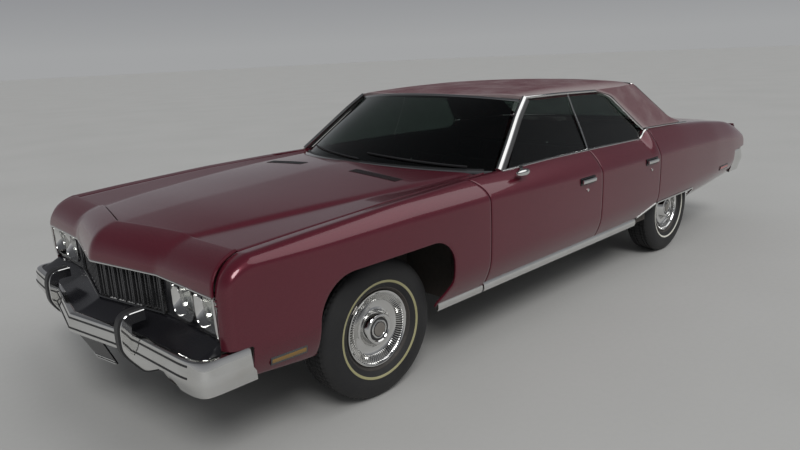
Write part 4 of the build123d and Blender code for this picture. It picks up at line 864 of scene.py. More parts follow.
def coverShape():
    # a stamped cover: rolled rim, ring of fine ribs, dished plate, and a raised centre with a dark ring
    size = coverSize
    inner, outer = size["ribIn"], size["ribOut"]
    ribbed = np.column_stack([np.linspace(outer, inner, 9), np.linspace(*size["ribbedDepth"], 9)])
    profile = np.concatenate([size["rolled"], ribbed, size["dish"]]) + (0, size["halfWidth"])
    steps = size["ribs"] * 4
    angle = np.linspace(0, 2 * math.pi, steps, endpoint=False)[:, None]
    wave = np.cos(angle * size["ribs"] + 0.8)
    fade = np.clip((outer + 0.001 - profile[:, 0]) / 0.004, 0, 1) * np.clip((profile[:, 0] - inner) / 0.004, 0, 1)
    depth = profile[:, 1] + size["ribDepth"] * fade * np.sign(wave)
    shape = surface(grid(np.cos(angle) * profile[:, 0], depth, np.sin(angle) * profile[:, 0]), closedU=True)
    # numbers of the finishes: 1 the dark rings, 2 the hub, 3 the valleys between ribs, which are black as painted shade
    middle = (profile[:-1, 0] + profile[1:, 0]) / 2
    ringed = sum((middle > low) & (middle < high) for low, high in size["darkRings"])
    shadedValleys = (wave < 0) & (np.roll(wave, -1, 0) < 0) & (middle > inner + 0.003) & (middle < outer - 0.001)
    shape[3] = np.where(shadedValleys, 3, ringed + (middle < size["hub"]) * 2).ravel()
    return shape


def makeWheels():
    tyre, cover, rim = tyreShape(), coverShape(), turned(rimProfile, (0, 0, 0), 96, flip=True)
    for place, (x, y) in axles.items():
        centre, body = np.array([x, y, tyreSize["radius"]]), f"wheel_{place}"
        # the front tyres take the darker band, painted shade; the rear ones the white
        band = "shadedBand" if place == "front" else "whiteBand"
        addPair(f"tyre_tread_{place}", moved(tyre, centre), body, ("rubber", band), "tyre_rubber", [f"tyre_{place}"],
                sharp=30)
        # the last black finish is painted shade in the valleys between the ribs
        addPair(f"wheel_cover_{place}", moved(cover, centre), body, ("chrome", "trimBlack", "steel", "trimBlack"),
                "wheel_cover", [f"wheel_{place}"], sharp=24, weld=True)
        addPair(f"wheel_rim_{place}", moved(rim, centre), body, "underbody", "wheel_cover", sharp=30, weld=True)
        hole = turned(valve["profile"], centre + valve["place"], 20, flip=True)
        addPair(f"valve_hole_{place}", hole, body, "trimBlack", "wheel_cover", weld=True)
    # a balance weight clipped on the rim of the front left wheel
    x, y = axles["front"]
    a = np.radians(np.linspace(38, 50, 8))
    path = grid(x + np.cos(a) * 0.198, y + 0.080, tyreSize["radius"] + np.sin(a) * 0.198)
    addPiece("balance_weight", swept(path, rib(0.012, 0.006), (0, 1, 0)), "wheel_front_left", "steel", "wheel_cover")


makeWheels()
print("wheels made")


bumpers = dict(
    frontPlan=[(2.8285, 0), (2.740, 0.458), (2.712, 0.900), (2.678, 0.968), (2.466, 0.968)],
    rearPlan=[(-2.8285, 0), (-2.8285, 0.21), (-2.800, 0.860), (-2.770, 0.940), (-2.740, 0.968), (-2.500, 0.968)],
    frontFace=[(-0.040, 0.530), (-0.022, 0.531), (-0.015, 0.528), (-0.011, 0.519), (-0.002, 0.462), (-0.001, 0.450),
               (-0.010, 0.425), (-0.034, 0.374), (-0.040, 0.371), (-0.060, 0.376), (-0.040, 0.426), (-0.026, 0.452),
               (-0.032, 0.512), (-0.042, 0.522)],
    rearFace=[(-0.060, 0.650), (-0.020, 0.650), (-0.013, 0.644), (-0.010, 0.632), (0.0, 0.575), (0.0, 0.555),
              (-0.010, 0.520), (-0.028, 0.454), (-0.034, 0.450), (-0.055, 0.455), (-0.036, 0.520), (-0.024, 0.560),
              (-0.032, 0.628), (-0.060, 0.642)],
    # the bar is thinner in its middle: y and the height of its foot
    waist=[(0.72, 0.440), (0.85, 0.300)], endReach=0.045,
    # plan, height, half width, how far out, width and thickness of the dark strips
    strips=[("frontPlan", 0.512, 0.90, -0.0105, 0.009, 0.003), ("frontPlan", 0.466, 0.90, -0.003, 0.008, 0.003),
            ("rearPlan", 0.600, 0.92, -0.005, 0.034, 0.008)],
    guardY=0.443, guardWidth=0.056, guardDepth=0.046, guardStrip=[(0.024, -0.002), (0.024, 0.004), (0.018, 0.008)],
    guardSide=[(2.628, 0.338), (2.690, 0.350), (2.750, 0.432), (2.770, 0.474), (2.770, 0.562), (2.756, 0.604),
               (2.732, 0.620), (2.660, 0.623)],
    # y and z at the foot and the head of the bracket that hangs below the middle, then x of its tip
    hanger=[(0.150, 0.280, 2.723), (0.190, 0.448, 2.803)],
    fillerHalf=0.944, fillerZ=0.524, fillerRise=0.046, levelFrom=0.908)


def bumperPath(plan):
    # the plan on both sides of the middle, with the direction away from the car
    half = smoothPath(bumpers[plan], 90, 3.2)
    whole = np.concatenate([(half * (1, -1))[:0:-1], half])
    ahead = unit(np.gradient(whole, axis=0)) * (1 if plan == "frontPlan" else -1)
    return whole, np.stack([ahead[:, 1], -ahead[:, 0]], 1)


def bumperShape(plan, face, waist=None):
    # the face's (out, z) points carried round the plan, and lifted where the bar is thinner
    whole, out = bumperPath(plan)
    face = np.array(bumpers[face])
    plane = whole[:, None] + out[:, None] * face[None, :, 0:1]
    points = grid(plane[..., 0], plane[..., 1], face[:, 1])
    if waist:
        foot = np.interp(np.abs(points[..., 1]), *np.array(waist).T)
        points[..., 2] = np.maximum(points[..., 2], foot)
        # the end of the bar reaches further back along its lower crease
        share = np.clip((2.58 - points[..., 0]) / 0.10, 0, 1)
        points[..., 0] -= bumpers["endReach"] * share * np.interp(points[..., 2], [0.350, 0.384, 0.45], [0, 1, 0])
    return surface(points, closedV=True, caps=True, flip=plan == "frontPlan")


def bumperStrip(plan, z, half, out, width, height):
    whole, away = bumperPath(plan)
    part = np.abs(whole[:, 1]) < half
    path = whole[part] + away[part] * out
    return swept(grid(*path.T, z), rib(width, height, 0.5), grid(*away[part].T, 0.0))


def makeGuards():
    # each guard is a bright block bent over the bar, with a dark strip down its front
    blocks, strips = [], []
    x, z = np.array(bumpers["guardSide"]).T
    half = bumpers["guardWidth"] / 2
    section = bothSides([(half, -bumpers["guardDepth"]), (half, -0.003), (half - 0.003, 0)])
    for sign in (1, -1):
        path = smoothPath(grid(x, sign * bumpers["guardY"], z), 64, 2)
        ahead = unit(np.gradient(path, axis=0))
        facing = grid(ahead[:, 2], 0.0, -ahead[:, 0])
        blocks.append(swept(path, section, facing))
        strips.append(swept(path[1:-1], bothSides(bumpers["guardStrip"]), facing[1:-1]))
    addPiece("guard_blocks", joined(*blocks), "body", "chrome", "bright_trim", sharp=28)
    addPiece("guard_strips", joined(*strips), "body", "trimBlack", "dash_black", sharp=28)


def makeBumpers():
    front, rear = bumperShape("frontPlan", "frontFace", bumpers["waist"]), bumperShape("rearPlan", "rearFace")
    addPiece("front_bumper_bar", front, "body", "chrome", "bright_trim", ["front_bumper"], sharp=28)
    addPiece("rear_bumper_bar", rear, "body", "chrome", "bright_trim", ["rear_bumper"], sharp=28)
    strips = [bumperStrip(*strip) for strip in bumpers["strips"]]
    addPiece("bumper_strips", joined(*strips), "body", "trimBlack", "dash_black")

    foot, head = np.array(bumpers["hanger"])
    half, z, tip = (foot + (head - foot) * np.linspace(0, 1, 12)[:, None]).T[:, :, None]
    y = half * np.linspace(-1, 1, 41)[None, :]
    plate = grid(tip - np.abs(y) * 0.193, y, z)
    addPiece("hung_bracket", surface(plate, flip=True), "body", "panelBlack", "frame_black", (), 0.007)
    lips = [swept(plate[row] + (0.002, 0, lift), rib(0.008, 0.005), (1, 0, -0.3))
            for row, lift in ((0, 0.004), (1, 0.006))]
    addPiece("bracket_lip", joined(*lips), "body", "chrome", "bright_trim")


def makeFiller():
    # a black panel from the bumper's top back and up to the nose, level beside the fenders' front ends; its black is
    # painted shade between bumper and grille
    half = smoothPath(bumpers["frontPlan"], 400, 12)
    y = np.linspace(-bumpers["fillerHalf"], bumpers["fillerHalf"], 190)[:, None]
    back = np.linspace(0, 1, 14)[None, :]
    bumperX = np.interp(np.abs(y), half[:, 1], half[:, 0]) - 0.030
    beside = np.clip((np.abs(y) - bumpers["levelFrom"]) / 0.012, 0, 1)
    noseLine = (noseX(y) - 0.016) * (1 - beside) + 2.578 * beside
    z = bumpers["fillerZ"] + bumpers["fillerRise"] * (1 - beside) * back ** 1.6
    filler = surface(grid(bumperX + (noseLine - bumperX) * back, y, z))
    addPiece("bumper_filler", filler, "body", "panelBlack", "frame_black", (), 0.005)


makeBumpers()
makeGuards()
print("bumpers made")


def squareRing(centre, half, rings):
    # rings between a squared outline and a round one, each with its share of the size, depth and squareness
    a = np.linspace(0, 2 * math.pi, 96, endpoint=False)
    share, depth, squareness = np.array(rings).T[:, :, None]
    bend = 1 - 0.5 * squareness
    y = np.sign(np.cos(a)) * np.abs(np.cos(a)) ** bend * half[0] * share
    z = np.sign(np.sin(a)) * np.abs(np.sin(a)) ** bend * half[1] * share
    return surface(grid(depth, y, z) + centre, closedV=True, flip=True)


lamps = dict(inset=0.030, half=(0.0915, 0.083),
             # share of the size, depth and squareness of the funnel's rings, then (radius, depth) of bowl and bulb
             funnel=[(1.0, 0.022, 1), (0.99, 0.027, 1), (0.965, 0.027, 1), (0.95, 0.022, 1), (0.86, 0.006, 0.35),
                     (0.80, -0.004, 0), (0.785, -0.010, 0)],
             bowl=[(0.0, -0.060), (0.02, -0.058), (0.045, -0.046), (0.062, -0.028), (0.0695, -0.010),
                   (0.072, -0.002), (0.074, -0.002)],
             bulb=[(0.0, -0.020), (0.009, -0.022), (0.012, -0.03), (0.012, -0.055)],
             radius=0.0705, crown=0.010, holeHalf=0.089, holeZ=(0.595, 0.757), holeCorner=0.03, panelY=(0.474, 0.914))


def makeLamps():
    # four round sealed beams at the ends of bright funnels, in a dark panel
    shells, glass, holes = [], [], []
    r = np.linspace(0, lamps["radius"], 14)
    curve = np.column_stack([r, lamps["crown"] * (1 - (r / lamps["radius"]) ** 2) - 0.004])
    for y in nose["lampY"]:
        centre = np.array([noseX(y) - lamps["inset"], y, nose["lampZ"]])
        shells += [squareRing(centre, lamps["half"], lamps["funnel"]), turned(lamps["bowl"], centre, 64, axis=0),
                   turned(lamps["bulb"], centre, 24, axis=0)]
        glass.append(turned(curve, centre, 96, axis=0))
        holes.append(window(y, lamps["holeHalf"], *lamps["holeZ"], lamps["holeCorner"], 6))
    y = np.linspace(*lamps["panelY"], 90)[:, None]
    z = np.linspace(nose["bottomZ"], nose["topZ"] - 0.004, 36)[None, :]
    panel = cutSheet(grid(noseX(y) - 0.012, y, z), holes, (1, 2))
    shells, glass, panel = (joined(shape, mirrored(shape)) for shape in (joined(*shells), joined(*glass), panel))
    addPiece("lamp_shells", shells, "body", "chrome", "bright_trim", ["headlamp_bezels"], 0.002, sharp=40, weld=True)
    addPiece("lamp_lenses", glass, "body", "lampGlass", "lamp_glass", ["headlamps"], 0.004, sharp=60, weld=True)
    addPiece("lamp_panel", panel, "body", "panelBlack", "frame_black", (), 0.006)


grille = dict(pitch=0.0208, half=0.458, each=21, blade=[(0.0026, -0.026), (0.0026, -0.003), (0, 0)], behind=0.012,
              set=0.006, post=(0.009, 0.010), foot=(0.008, 0.008), backing=0.046)


def makeGrille():
    # fine upright blades behind a grey metal frame, raked like the nose; every third one stands ahead
    z = np.linspace(nose["bottomZ"] + 0.002, nose["topZ"] - 0.010, 6)
    half, ahead, blades = grille["half"], grille["set"], []
    for n in range(-grille["each"], grille["each"] + 1):
        y = n * grille["pitch"]
        x = noseX(y) - grille["behind"] - (ahead if n % 3 else 0.0)
        blades.append(swept(grid(x, y, z), bothSides(grille["blade"]), (1, 0, 0)))
    addPiece("grille_blades", joined(*blades), "body", "grilleGrey", "bright_trim", ["grille"])
    y = np.linspace(-half - 0.006, half + 0.006, 93)
    frameBars = [swept(grid(noseX(half) - ahead, sign * (half + 0.006), z), rib(*grille["post"]), (1, 0, 0))
                 for sign in (1, -1)]
    frameBars.append(swept(grid(noseX(y) - ahead, y, nose["bottomZ"] + 0.004), rib(*grille["foot"]), (1, 0, 0)))
    addPiece("grille_frame", joined(*frameBars), "body", "grilleGrey", "bright_trim")
    # a black sheet behind the blades: painted shade of the dark space behind the grille
    rows, y = np.linspace(nose["bottomZ"] - 0.002, nose["topZ"] - 0.002, 8)[None, :], y[:, None]
    back = surface(grid(noseX(y) - grille["backing"], y, rows))
    addPiece("grille_shade_backing", back, "body", "trimBlack", "frame_black", (), 0.004)


def makeNoseTrim():
    # one bright strip over the grille and lamps and down the outer edges
    reach, top, edgeX = nose["halfWidth"] - 0.016, nose["topZ"] - 0.004, noseX(0.9)
    y = np.linspace(-reach, reach, 200)
    strips = [swept(grid(noseX(y) + 0.004, y, top), rib(*nose["trim"]), unit(np.array([1, 0, 0.3])))]
    for sign in (1, -1):
        edge = smoothPath([(edgeX + 0.004, sign * 0.909, top), (edgeX + 0.002, sign * 0.912, 0.60),
                           (edgeX - 0.004, sign * 0.900, 0.576)], 24, 2)
        strips.append(swept(edge, rib(*nose["trim"]), (1, 0.2 * sign, 0)))
    addPiece("nose_trim", joined(*strips), "body", "chrome", "bright_trim")


makeLamps()
makeGrille()
makeNoseTrim()
makeFiller()
print("lamps and grille made")


# Bright mouldings. Each is a path beside the body with a small section.


mouldings = dict(
    sillPlace=(0.938, 0.362), sillRuns=dict(front=(1.392, 1.038), rear=(1.026, -0.700)),
    sill=[(-0.026, 0.0), (-0.025, 0.008), (-0.008, 0.015), (0.010, 0.015), (0.027, 0.006), (0.028, 0.0)],
    beltFront=0.800, belt=(0.016, 0.006), vinylRun=(-0.940, -1.600), vinyl=(0.016, 0.007),
    pillar=[(0.800, 0.893, 0.958), (0.640, 0.838, 1.085), (0.470, 0.776, 1.222), (0.340, 0.735, 1.312)],
    pillarOut=(0.55, 0.8, 0.3),
    pillarTrim=[(-0.004, -0.012), (-0.004, 0.007), (0.002, 0.011), (0.018, 0.010), (0.026, 0.003),
                (0.026, -0.012)],
    pillarSeal=[(-0.028, -0.016), (-0.028, -0.002), (-0.022, 0.004), (-0.003, 0.004), (-0.003, -0.016)],
    railRun=(0.350, -0.480), rail=(0.018, 0.010),
    railEnd=[(-0.46, 0.748, 1.302), (-0.610, 0.762, 1.258), (-0.724, 0.812, 1.150), (-0.845, 0.866, 1.036),
             (-0.880, 0.885, 1.004)],
    archLine=[(-0.704, 0.396, 0), (-0.925, 0.466, 0.12), (-1.662, 0.468, 0.03), (-1.592, 0.402, 0)],
    arch=(0.013, 0.006), rearSillRun=(-1.600, -2.470), rearSill=(0.034, 0.008, 0.4),
    divisionRun=(0.955, 1.302), division=(0.011, 0.006))


def addStrip(name, path, section, outward, body="body", look="chrome", slot="bright_trim"):
    addPair(name, swept(path, section, outward), body, look, slot)


def makeMouldings():
    size, split, doorRear = mouldings, panels["split"], panels["doorRear"]
    for tag, run in size["sillRuns"].items():
        addStrip(f"sill_moulding_{tag}", grid(np.linspace(*run, 60), *size["sillPlace"]), size["sill"], (0, 1, 0))
    for tag, start, end, table, reach in (
            ("front", size["beltFront"], split + 0.004, bodyLines["crestFront"], 6),
            ("rear", split - 0.004, doorRear + 0.002, bodyLines["crestDoorRear"], 1.5)):
        x = np.linspace(start, end, 80)
        y, z = linesAt(table, x, reach)
        addStrip(f"belt_moulding_{tag}", grid(x, y - 0.002, z - 0.001), rib(*size["belt"]), (0, 0.5, 0.85),
                 f"door_{tag}")
    x = np.linspace(*size["vinylRun"], 70)
    z = vinylFoot(x)
    y = sideY(z) - 0.004 + 0.012 * np.clip((-x - 1.3) / 0.4, 0, 1)
    addStrip("vinyl_edge", grid(x, y, z - 0.002), rib(*size["vinyl"]), (0, 0.85, 0.5))

    pillar = smoothPath(size["pillar"], 40, 2)
    addStrip("pillar_moulding", pillar, size["pillarTrim"], size["pillarOut"])
    addStrip("pillar_seal", pillar, size["pillarSeal"], size["pillarOut"], look="trimBlack", slot="dash_black")
    x = np.linspace(*size["railRun"], 70)
    railY, railZ = linesAt(roofLines, x, 9)[3:]
    rail = np.concatenate([grid(x, railY + 0.001, railZ - 0.005), smoothPath(size["railEnd"], 50, 2)[2:]])
    addStrip("drip_rail", softened(rail, 2.5), rib(*size["rail"]), (0, 0.9, 0.35))
    z = np.linspace(*size["divisionRun"], 30)
    bow = 4 * (z - z[0]) * (z[-1] - z) / (z[-1] - z[0]) ** 2
    addStrip("glass_division", grid(split + 0.001 - 0.010 * bow, sideY(z) - 0.006, z), rib(*size["division"]),
             (0, 0.85, 0.4), "door_front")

    x, z = smoothPath(roundedOutline(size["archLine"], 9), 90, 1).T
    arch = grid(x, sideAt(x, z), z)
    for tag, body, part in (("door", "door_rear", x > doorRear + 0.003), ("quarter", "body", x < doorRear - 0.012)):
        addStrip(f"arch_trim_{tag}", arch[part], rib(*size["arch"]), (0, 0.9, -0.3), body)
    x = np.linspace(*size["rearSillRun"], 60)
    lowY, lowZ = linesAt(bodyLines["side"], x)[:2]
    addStrip("rear_sill_moulding", grid(x, lowY + 0.002, lowZ + 0.014), rib(*size["rearSill"]), (0, 0.95, -0.2))


def makeSurrounds():
    # bright strips round the windshield and the rear glass
    foot = shieldFoot(np.linspace(-0.846, 0.846, 120), 0.012, 0.004)
    base = swept(foot, bothSides([(0.014, -0.004), (0.014, 0.004), (0, 0.008)]), (0.5, 0, 0.85))
    head = swept(shieldHead(np.linspace(-0.700, 0.700, 90), 0.004, 0.0025), rib(0.024, 0.007), (0.6, 0, 0.8))
    share = np.linspace(-1, 1, 60)
    low, top = rearFoot(share, 0.007, 0.010), rearHead(share, 0.002, 0.008, 0.003)
    loop = np.concatenate([low, np.linspace(low[-1], top[-1], 30)[1:-1], top[::-1],
                           np.linspace(top[0], low[0], 30)[1:-1]])
    rear = swept(softened(loop, 1.2), rib(0.022, 0.007), (-0.5, 0, 0.85), closedPath=True)
    addPiece("glass_surrounds", joined(base, head, rear), "body", "chrome", "bright_trim")


handles = dict(front=(0.075, 0.800), rear=(-0.790, 0.797), length=0.150, recess=(0.170, 0.046), lockDrop=0.060,
               flap=[(-0.012, -0.005), (-0.012, 0.0), (-0.006, 0.005), (0.008, 0.005), (0.012, 0.002),
                     (0.012, -0.005)],
               lock=[(0.0, 0.006), (0.007, 0.006), (0.010, 0.004), (0.010, 0.0)])


def makeHandles():
    # a flap with a rolled lip in front of a black cup, whose black is painted shade in the recess, and a lock below it
    half, wide, tall = handles["length"] / 2, handles["recess"][0] / 2, handles["recess"][1] / 2
    for place in ("front", "rear"):
        x, z = handles[place]
        y = linesAt(bodyLines["side"], x)[2] + 0.003
        path = smoothPath([(x - half, y + 0.012, z), (x, y + 0.014, z), (x + half, y + 0.012, z)], 14, 1)
        flap = swept(path, handles["flap"], (0, 1, 0))
        lock = turned(handles["lock"], (x, y, z - handles["lockDrop"]), 24)
        bar = grid(np.array([x - wide, x + wide]), y - 0.002, z)
        cup = swept(bar, bothSides([(tall, 0), (tall - 0.003, 0.004)]), (0, 1, 0))
        addPair(f"door_handle_{place}", joined(flap, lock), f"door_{place}", "chrome", "bright_trim", sharp=40,
                weld=True)
        # the cup's black is painted shade in the handle's recess
        addPair(f"handle_recess_{place}", cup, f"door_{place}", "panelBlack", "dash_black")


mirror = dict(place=(0.722, 0.985, 0.945),
              head=[(0.0, -0.052), (0.012, -0.051), (0.018, -0.044), (0.021, -0.020), (0.018, 0.020), (0.012, 0.044),
                    (0.006, 0.054), (0.0, 0.056)],
              arm=[(0.600, 0.898, 0.956), (0.660, 0.930, 0.966), (0.708, 0.968, 0.948)],
              armSection=[(0.008, -0.005), (0.008, 0.005)])


def makeMirror():
    # a slim bright head on a short arm, at the front of the left door
    head = turned(mirror["head"], mirror["place"], 40, axis=0)
    arm = swept(smoothPath(mirror["arm"], 16, 1.5), bothSides(mirror["armSection"]), (0, 0, 1))
    addPiece("mirror_head", joined(head, arm), "door_front_left", "chrome", "bright_trim", ["door_mirror"], sharp=40,
             weld=True)


# start, end, height and lens of each side marker
markers = dict(front=(2.220, 2.378, 0.438, "amber"), rear=(-2.300, -2.120, 0.545, "redLens"),
               lens=[(0.0125, 0), (0.0125, 0.004), (0.008, 0.007)],
               rim=[(0.0185, -0.002), (0.0185, 0.004), (0.0125, 0.006)], rimReach=0.006)


def makeMarkers():
    # an amber lens ahead of the front wheel and a red one on the quarter, each in a grey metal frame
    for place in ("front", "rear"):
        start, end, z, look = markers[place]
        x = np.linspace(start, end, 12)
        path = grid(x, sideAt(x, z) - 0.001, z)
        reach = grid(np.linspace(-1, 1, 12) * markers["rimReach"] * np.sign(end - start), 0, 0)
        addPair(f"marker_rim_{place}", swept(path + reach, bothSides(markers["rim"]), (0, 1, -0.2)), "body",
                "grilleGrey", "bright_trim")
        addPair(f"marker_lens_{place}", swept(path, bothSides(markers["lens"]), (0, 1, -0.2)), "body", look,
                "tail_lens")


wipers = dict(sealHalf=0.80, seal=(0.026, 0.004), runs=((0.72, 0.06), (0.02, -0.62)), lift=(0.012, 0.045),
              arm=[(0.006, 0), (0.004, 0.008)])


def makeWipers():
    # a dark band of seals at the glass's foot, and two arms parked along it
    foot = shieldFoot(np.linspace(-wipers["sealHalf"], wipers["sealHalf"], 90), -0.012, 0.014)
    parts = [swept(foot, rib(*wipers["seal"]), (0.5, 0, 0.8))]
    lift = np.linspace(*wipers["lift"], 30)
    for run in wipers["runs"]:
        path = shieldFoot(np.linspace(*run, 30), -0.004 - lift * 1.25, 0.016 + lift)
        parts.append(swept(path, bothSides(wipers["arm"]), (0.5, 0, 0.8)))
    addPiece("wiper_arms", joined(*parts), "body", "trimBlack", "dash_black")


makeMouldings()
makeSurrounds()
makeHandles()
makeMirror()
makeMarkers()
makeWipers()
print("mouldings made")


doorInside = dict(ends=dict(front=(-0.104, 1.020), rear=(-0.926, -0.116)), depth=0.095, stepDepth=0.145,
                  topDepth=0.066, beltDrop=0.060, foot=0.396, slant=0.057, slantY=(0.760, 1.0095), crest=(0.900, 0.962),
                  archX=(-0.925, -0.700), archZ=(0.474, 0.400), armrestZ=0.640,
                  rest=[(-0.028, 0), (-0.024, 0.030), (-0.008, 0.046), (0.012, 0.048), (0.026, 0.038), (0.030, 0.0)],
                  knob=[(0.0, -0.016), (0.018, -0.016), (0.021, -0.010), (0.021, 0.002), (0.012, 0.003)],
                  lever=[(0.008, -0.003), (0.006, 0.003)], pull=[(0.010, -0.003), (0.008, 0.003)])


def doorBlock(start, end, rear):
    # the closed inner body of a door behind its skin: painted edges, and a trimmed face towards the cabin
    inside = doorInside
    foot, drop = inside["foot"], inside["beltDrop"]
    x = np.linspace(start, end, 60)
    _, _, midY, midZ, creaseY, creaseZ = linesAt(bodyLines["side"], x)
    crest = linesAt(bodyLines["crestDoorRear" if rear else "crestFront"], x, 1.5 if rear else 6)
    crestY, crestZ = (np.minimum(line, most) for line, most in zip(crest, inside["crest"]))
    footY, trimY, innerY = sideAt(x, foot), midY - inside["stepDepth"], crestY - inside["topDepth"]
    ring = [(footY - 0.008, foot), (midY - 0.008, midZ), (creaseY - 0.009, creaseZ), (crestY - 0.008, crestZ - 0.010),
            (innerY, crestZ - 0.010), (innerY, crestZ - drop), (trimY, creaseZ - drop), (trimY, midZ),
            (footY - inside["depth"], foot)]
    points = np.stack([grid(x, y, z) for y, z in ring], 1)
    y0, y1 = inside["slantY"]
    share = np.clip(1 - (x - start) / 0.3, 0, 1)[:, None]
    points[..., 0] += inside["slant"] * share * np.clip((y1 - points[..., 1]) / (y1 - y0), 0, 1)
    if rear:
        points[..., 2] = np.maximum(points[..., 2], np.interp(points[..., 0], inside["archX"], inside["archZ"]))
    shape = surface(points, closedV=True, caps=True, flip=True)
    column = np.arange(len(ring))
    shape[3] = np.tile((column >= 4) & (column <= 7), len(x) - 1).astype(int)
    return shape


def makeDoorInsides():
    # each door's block, its armrest, and a window crank with the handle that opens the door
    inside, inward = doorInside, (0, -1, 0)
    y, z = 1.0095 - inside["stepDepth"], inside["armrestZ"]
    taper = np.minimum(1, 0.35 + np.minimum(np.arange(40), np.arange(40)[::-1]) * 0.13)
    for place, (start, end) in inside["ends"].items():
        middle, half = (start + end) / 2 + 0.02, (end - start) * 0.24
        path = [(middle - half, y + 0.004, z), (middle, y + 0.004, z + 0.006), (middle + half, y + 0.004, z + 0.030)]
        rest = swept(smoothPath(path, 40, 2), inside["rest"], inward, scale=taper)
        x, low = middle + half + 0.07, z + 0.02
        knob = turned(inside["knob"], (x, y, low), 28)
        lever, pull = (swept(smoothPath(path, 14, 1.5), bothSides(inside[part]), inward) for part, path in (
            ("lever", [(x, y - 0.015, low), (x - 0.05, y - 0.024, low - 0.03), (x - 0.085, y - 0.026, low - 0.055)]),
            ("pull", [(x + 0.02, y - 0.002, z + 0.10), (x - 0.02, y - 0.020, z + 0.105),
                      (x - 0.09, y - 0.018, z + 0.100)])))
        body = f"door_{place}"
        addPair(f"door_inside_{place}", doorBlock(start, end, place == "rear"), body, ("paint", "trimCloth"),
                "body_paint", bevel=0.002)
        addPair(f"armrest_{place}", rest, body, "trimCloth", "seat_cloth")
        addPair(f"door_fittings_{place}", joined(knob, lever, pull), body, "chrome", "bright_trim", weld=True)


seats = dict(places=dict(front_seat=0.030, rear_seat=-0.800), half=0.622, voxel=0.018, swell=0.013, pressure=4.0,
             channel=0.104, depth=0.008, groove=0.009, border=0.06, frames=20, fill=0.7,
             # x from the seat's place, and z, round the cushion and round the back
             cushion=[(0.400, 0.345), (0.412, 0.400), (0.408, 0.452), (0.386, 0.474), (0.340, 0.474), (0.200, 0.458),
                      (0.020, 0.440), (-0.012, 0.428), (-0.016, 0.345)],
             back=[(-0.022, 0.470), (-0.004, 0.500), (-0.030, 0.640), (-0.066, 0.820), (-0.082, 0.856), (-0.104, 0.864),
                   (-0.122, 0.848), (-0.126, 0.800), (-0.108, 0.500), (-0.094, 0.470)],
             tunnel=(0.150, 0.436))


def padShape(section, place, tunnel):
    # the section carried across the seat, drawn in towards its two ends, and lifted over the tunnel
    section = np.array(section) + (place, 0)
    outline = smoothPath(np.concatenate([section, section[:1]]), 64, 1.2)[:-1]
    middle = outline.mean(0)
    y = np.sin(np.linspace(-1, 1, 81) * math.pi / 2)[:, None] * seats["half"]
    pull = 1 - 0.16 * np.clip((np.abs(y) - seats["half"] + 0.05) / 0.05, 0, 1) ** 2
    points = grid(middle[0] + (outline[:, 0] - middle[0]) * pull, y, middle[1] + (outline[:, 1] - middle[1]) * pull)
    if tunnel:
        reach, height = seats["tunnel"]
        points[..., 2] = np.where(np.abs(y) < reach, np.maximum(points[..., 2], height), points[..., 2])
    return surface(points, closedV=True, caps=True)


def applied(piece, name, kind, **values):
    # one modifier, set and baked into the mesh
    modifier = piece.modifiers.new(name, kind)
    for key, value in values.items():
        setattr(modifier, key, value)
    bake(piece)


def readRows(holders, name):
    # the vector of each vertex or normal, a row for each
    values = np.empty(len(holders) * 3)
    holders.foreach_get(name, values)
    return values.reshape(-1, 3)


def swollen(piece):
    # the pad swells under pressure as cloth, and no point goes further than the cap
    scene = bpy.context.scene
    start = readRows(piece.data.vertices, "co")
    cloth = piece.modifiers.new("swell", "CLOTH")
    cloth.settings.use_pressure = True
    cloth.settings.uniform_pressure_force = seats["pressure"]
    cloth.settings.effector_weights.gravity = 0
    for step in range(seats["frames"]):
        scene.frame_set(step + 1)
    evaluated = piece.evaluated_get(bpy.context.evaluated_depsgraph_get())
    move = readRows(evaluated.data.vertices, "co") - start
    piece.modifiers.clear()
    scene.frame_set(1)
    length = np.linalg.norm(move, axis=1, keepdims=True)
    move *= np.minimum(1, seats["swell"] / np.maximum(length, 1e-9))
    piece.data.vertices.foreach_set("co", (start + move).ravel())


def makeSeats():
    for node, part in [(node, part) for node in seats["places"] for part in ("cushion", "back")]:
        shape = padShape(seats[part], seats["places"][node], part == "cushion")
        piece = addPiece(f"{node}_{part}", shape, "body", "cloth", "seat_cloth", [node])
        applied(piece, "remesh", "REMESH", mode="VOXEL", voxel_size=seats["voxel"])
        swollen(piece)
        applied(piece, "rounding", "SUBSURF", levels=1, render_levels=1)
        # sewn channels across the sitting face, and a rolled border round it
        points, normals = readRows(piece.data.vertices, "co"), readRows(piece.data.vertex_normals, "vector")
        facing = np.clip(normals[:, 2 if part == "cushion" else 0], 0, 1)
        pitch, groove = seats["channel"], seats["groove"]
        beyond = np.abs(points[:, 1]) - seats["half"] + seats["border"]
        phase = (points[:, 1] + pitch / 2) % pitch - pitch / 2
        sewn = np.exp(-(phase / groove) ** 2) * np.clip(-beyond / 0.01, 0, 1)
        sewn = np.maximum(sewn, np.exp(-(beyond / groove) ** 2))
        points -= normals * (seats["depth"] * facing ** 2 * sewn)[:, None]
        piece.data.vertices.foreach_set("co", points.ravel())
        piece.data.materials.clear()
        piece.data.materials.append(finishes["cloth"])
        piece.data.shade_smooth()
        print(piece.name, len(points), "points")


makeDoorInsides()
makeSeats()
print("cabin made")


# pieces that keep the frame's own mesh and take a finish
repainted = dict(
    underbody=("frame_rails", "front_suspension", "rear_axle", "inner_fenders", "firewall_cowl", "floor_pan",
               "radiator"),
    ironwork=("engine", "knuckle_left", "knuckle_right"), steel=("exhaust", "fuel_tank"),
    dash=("dashboard", "steering_wheel"))
for look, nodes in repainted.items():
    for node in nodes:
        data = cadNodes[node].data
        data.materials.clear()
        data.materials.append(finishes[look])


shields = dict(thickness=0.003, clear=0.017, x=2.172, inY=0.514, z=(0.44, 0.824), trunkZ=0.524, trunkY=0.684,
               trunkX=(-2.455, -1.728), wallX=-1.740, wallZ=(0.45, 0.755))


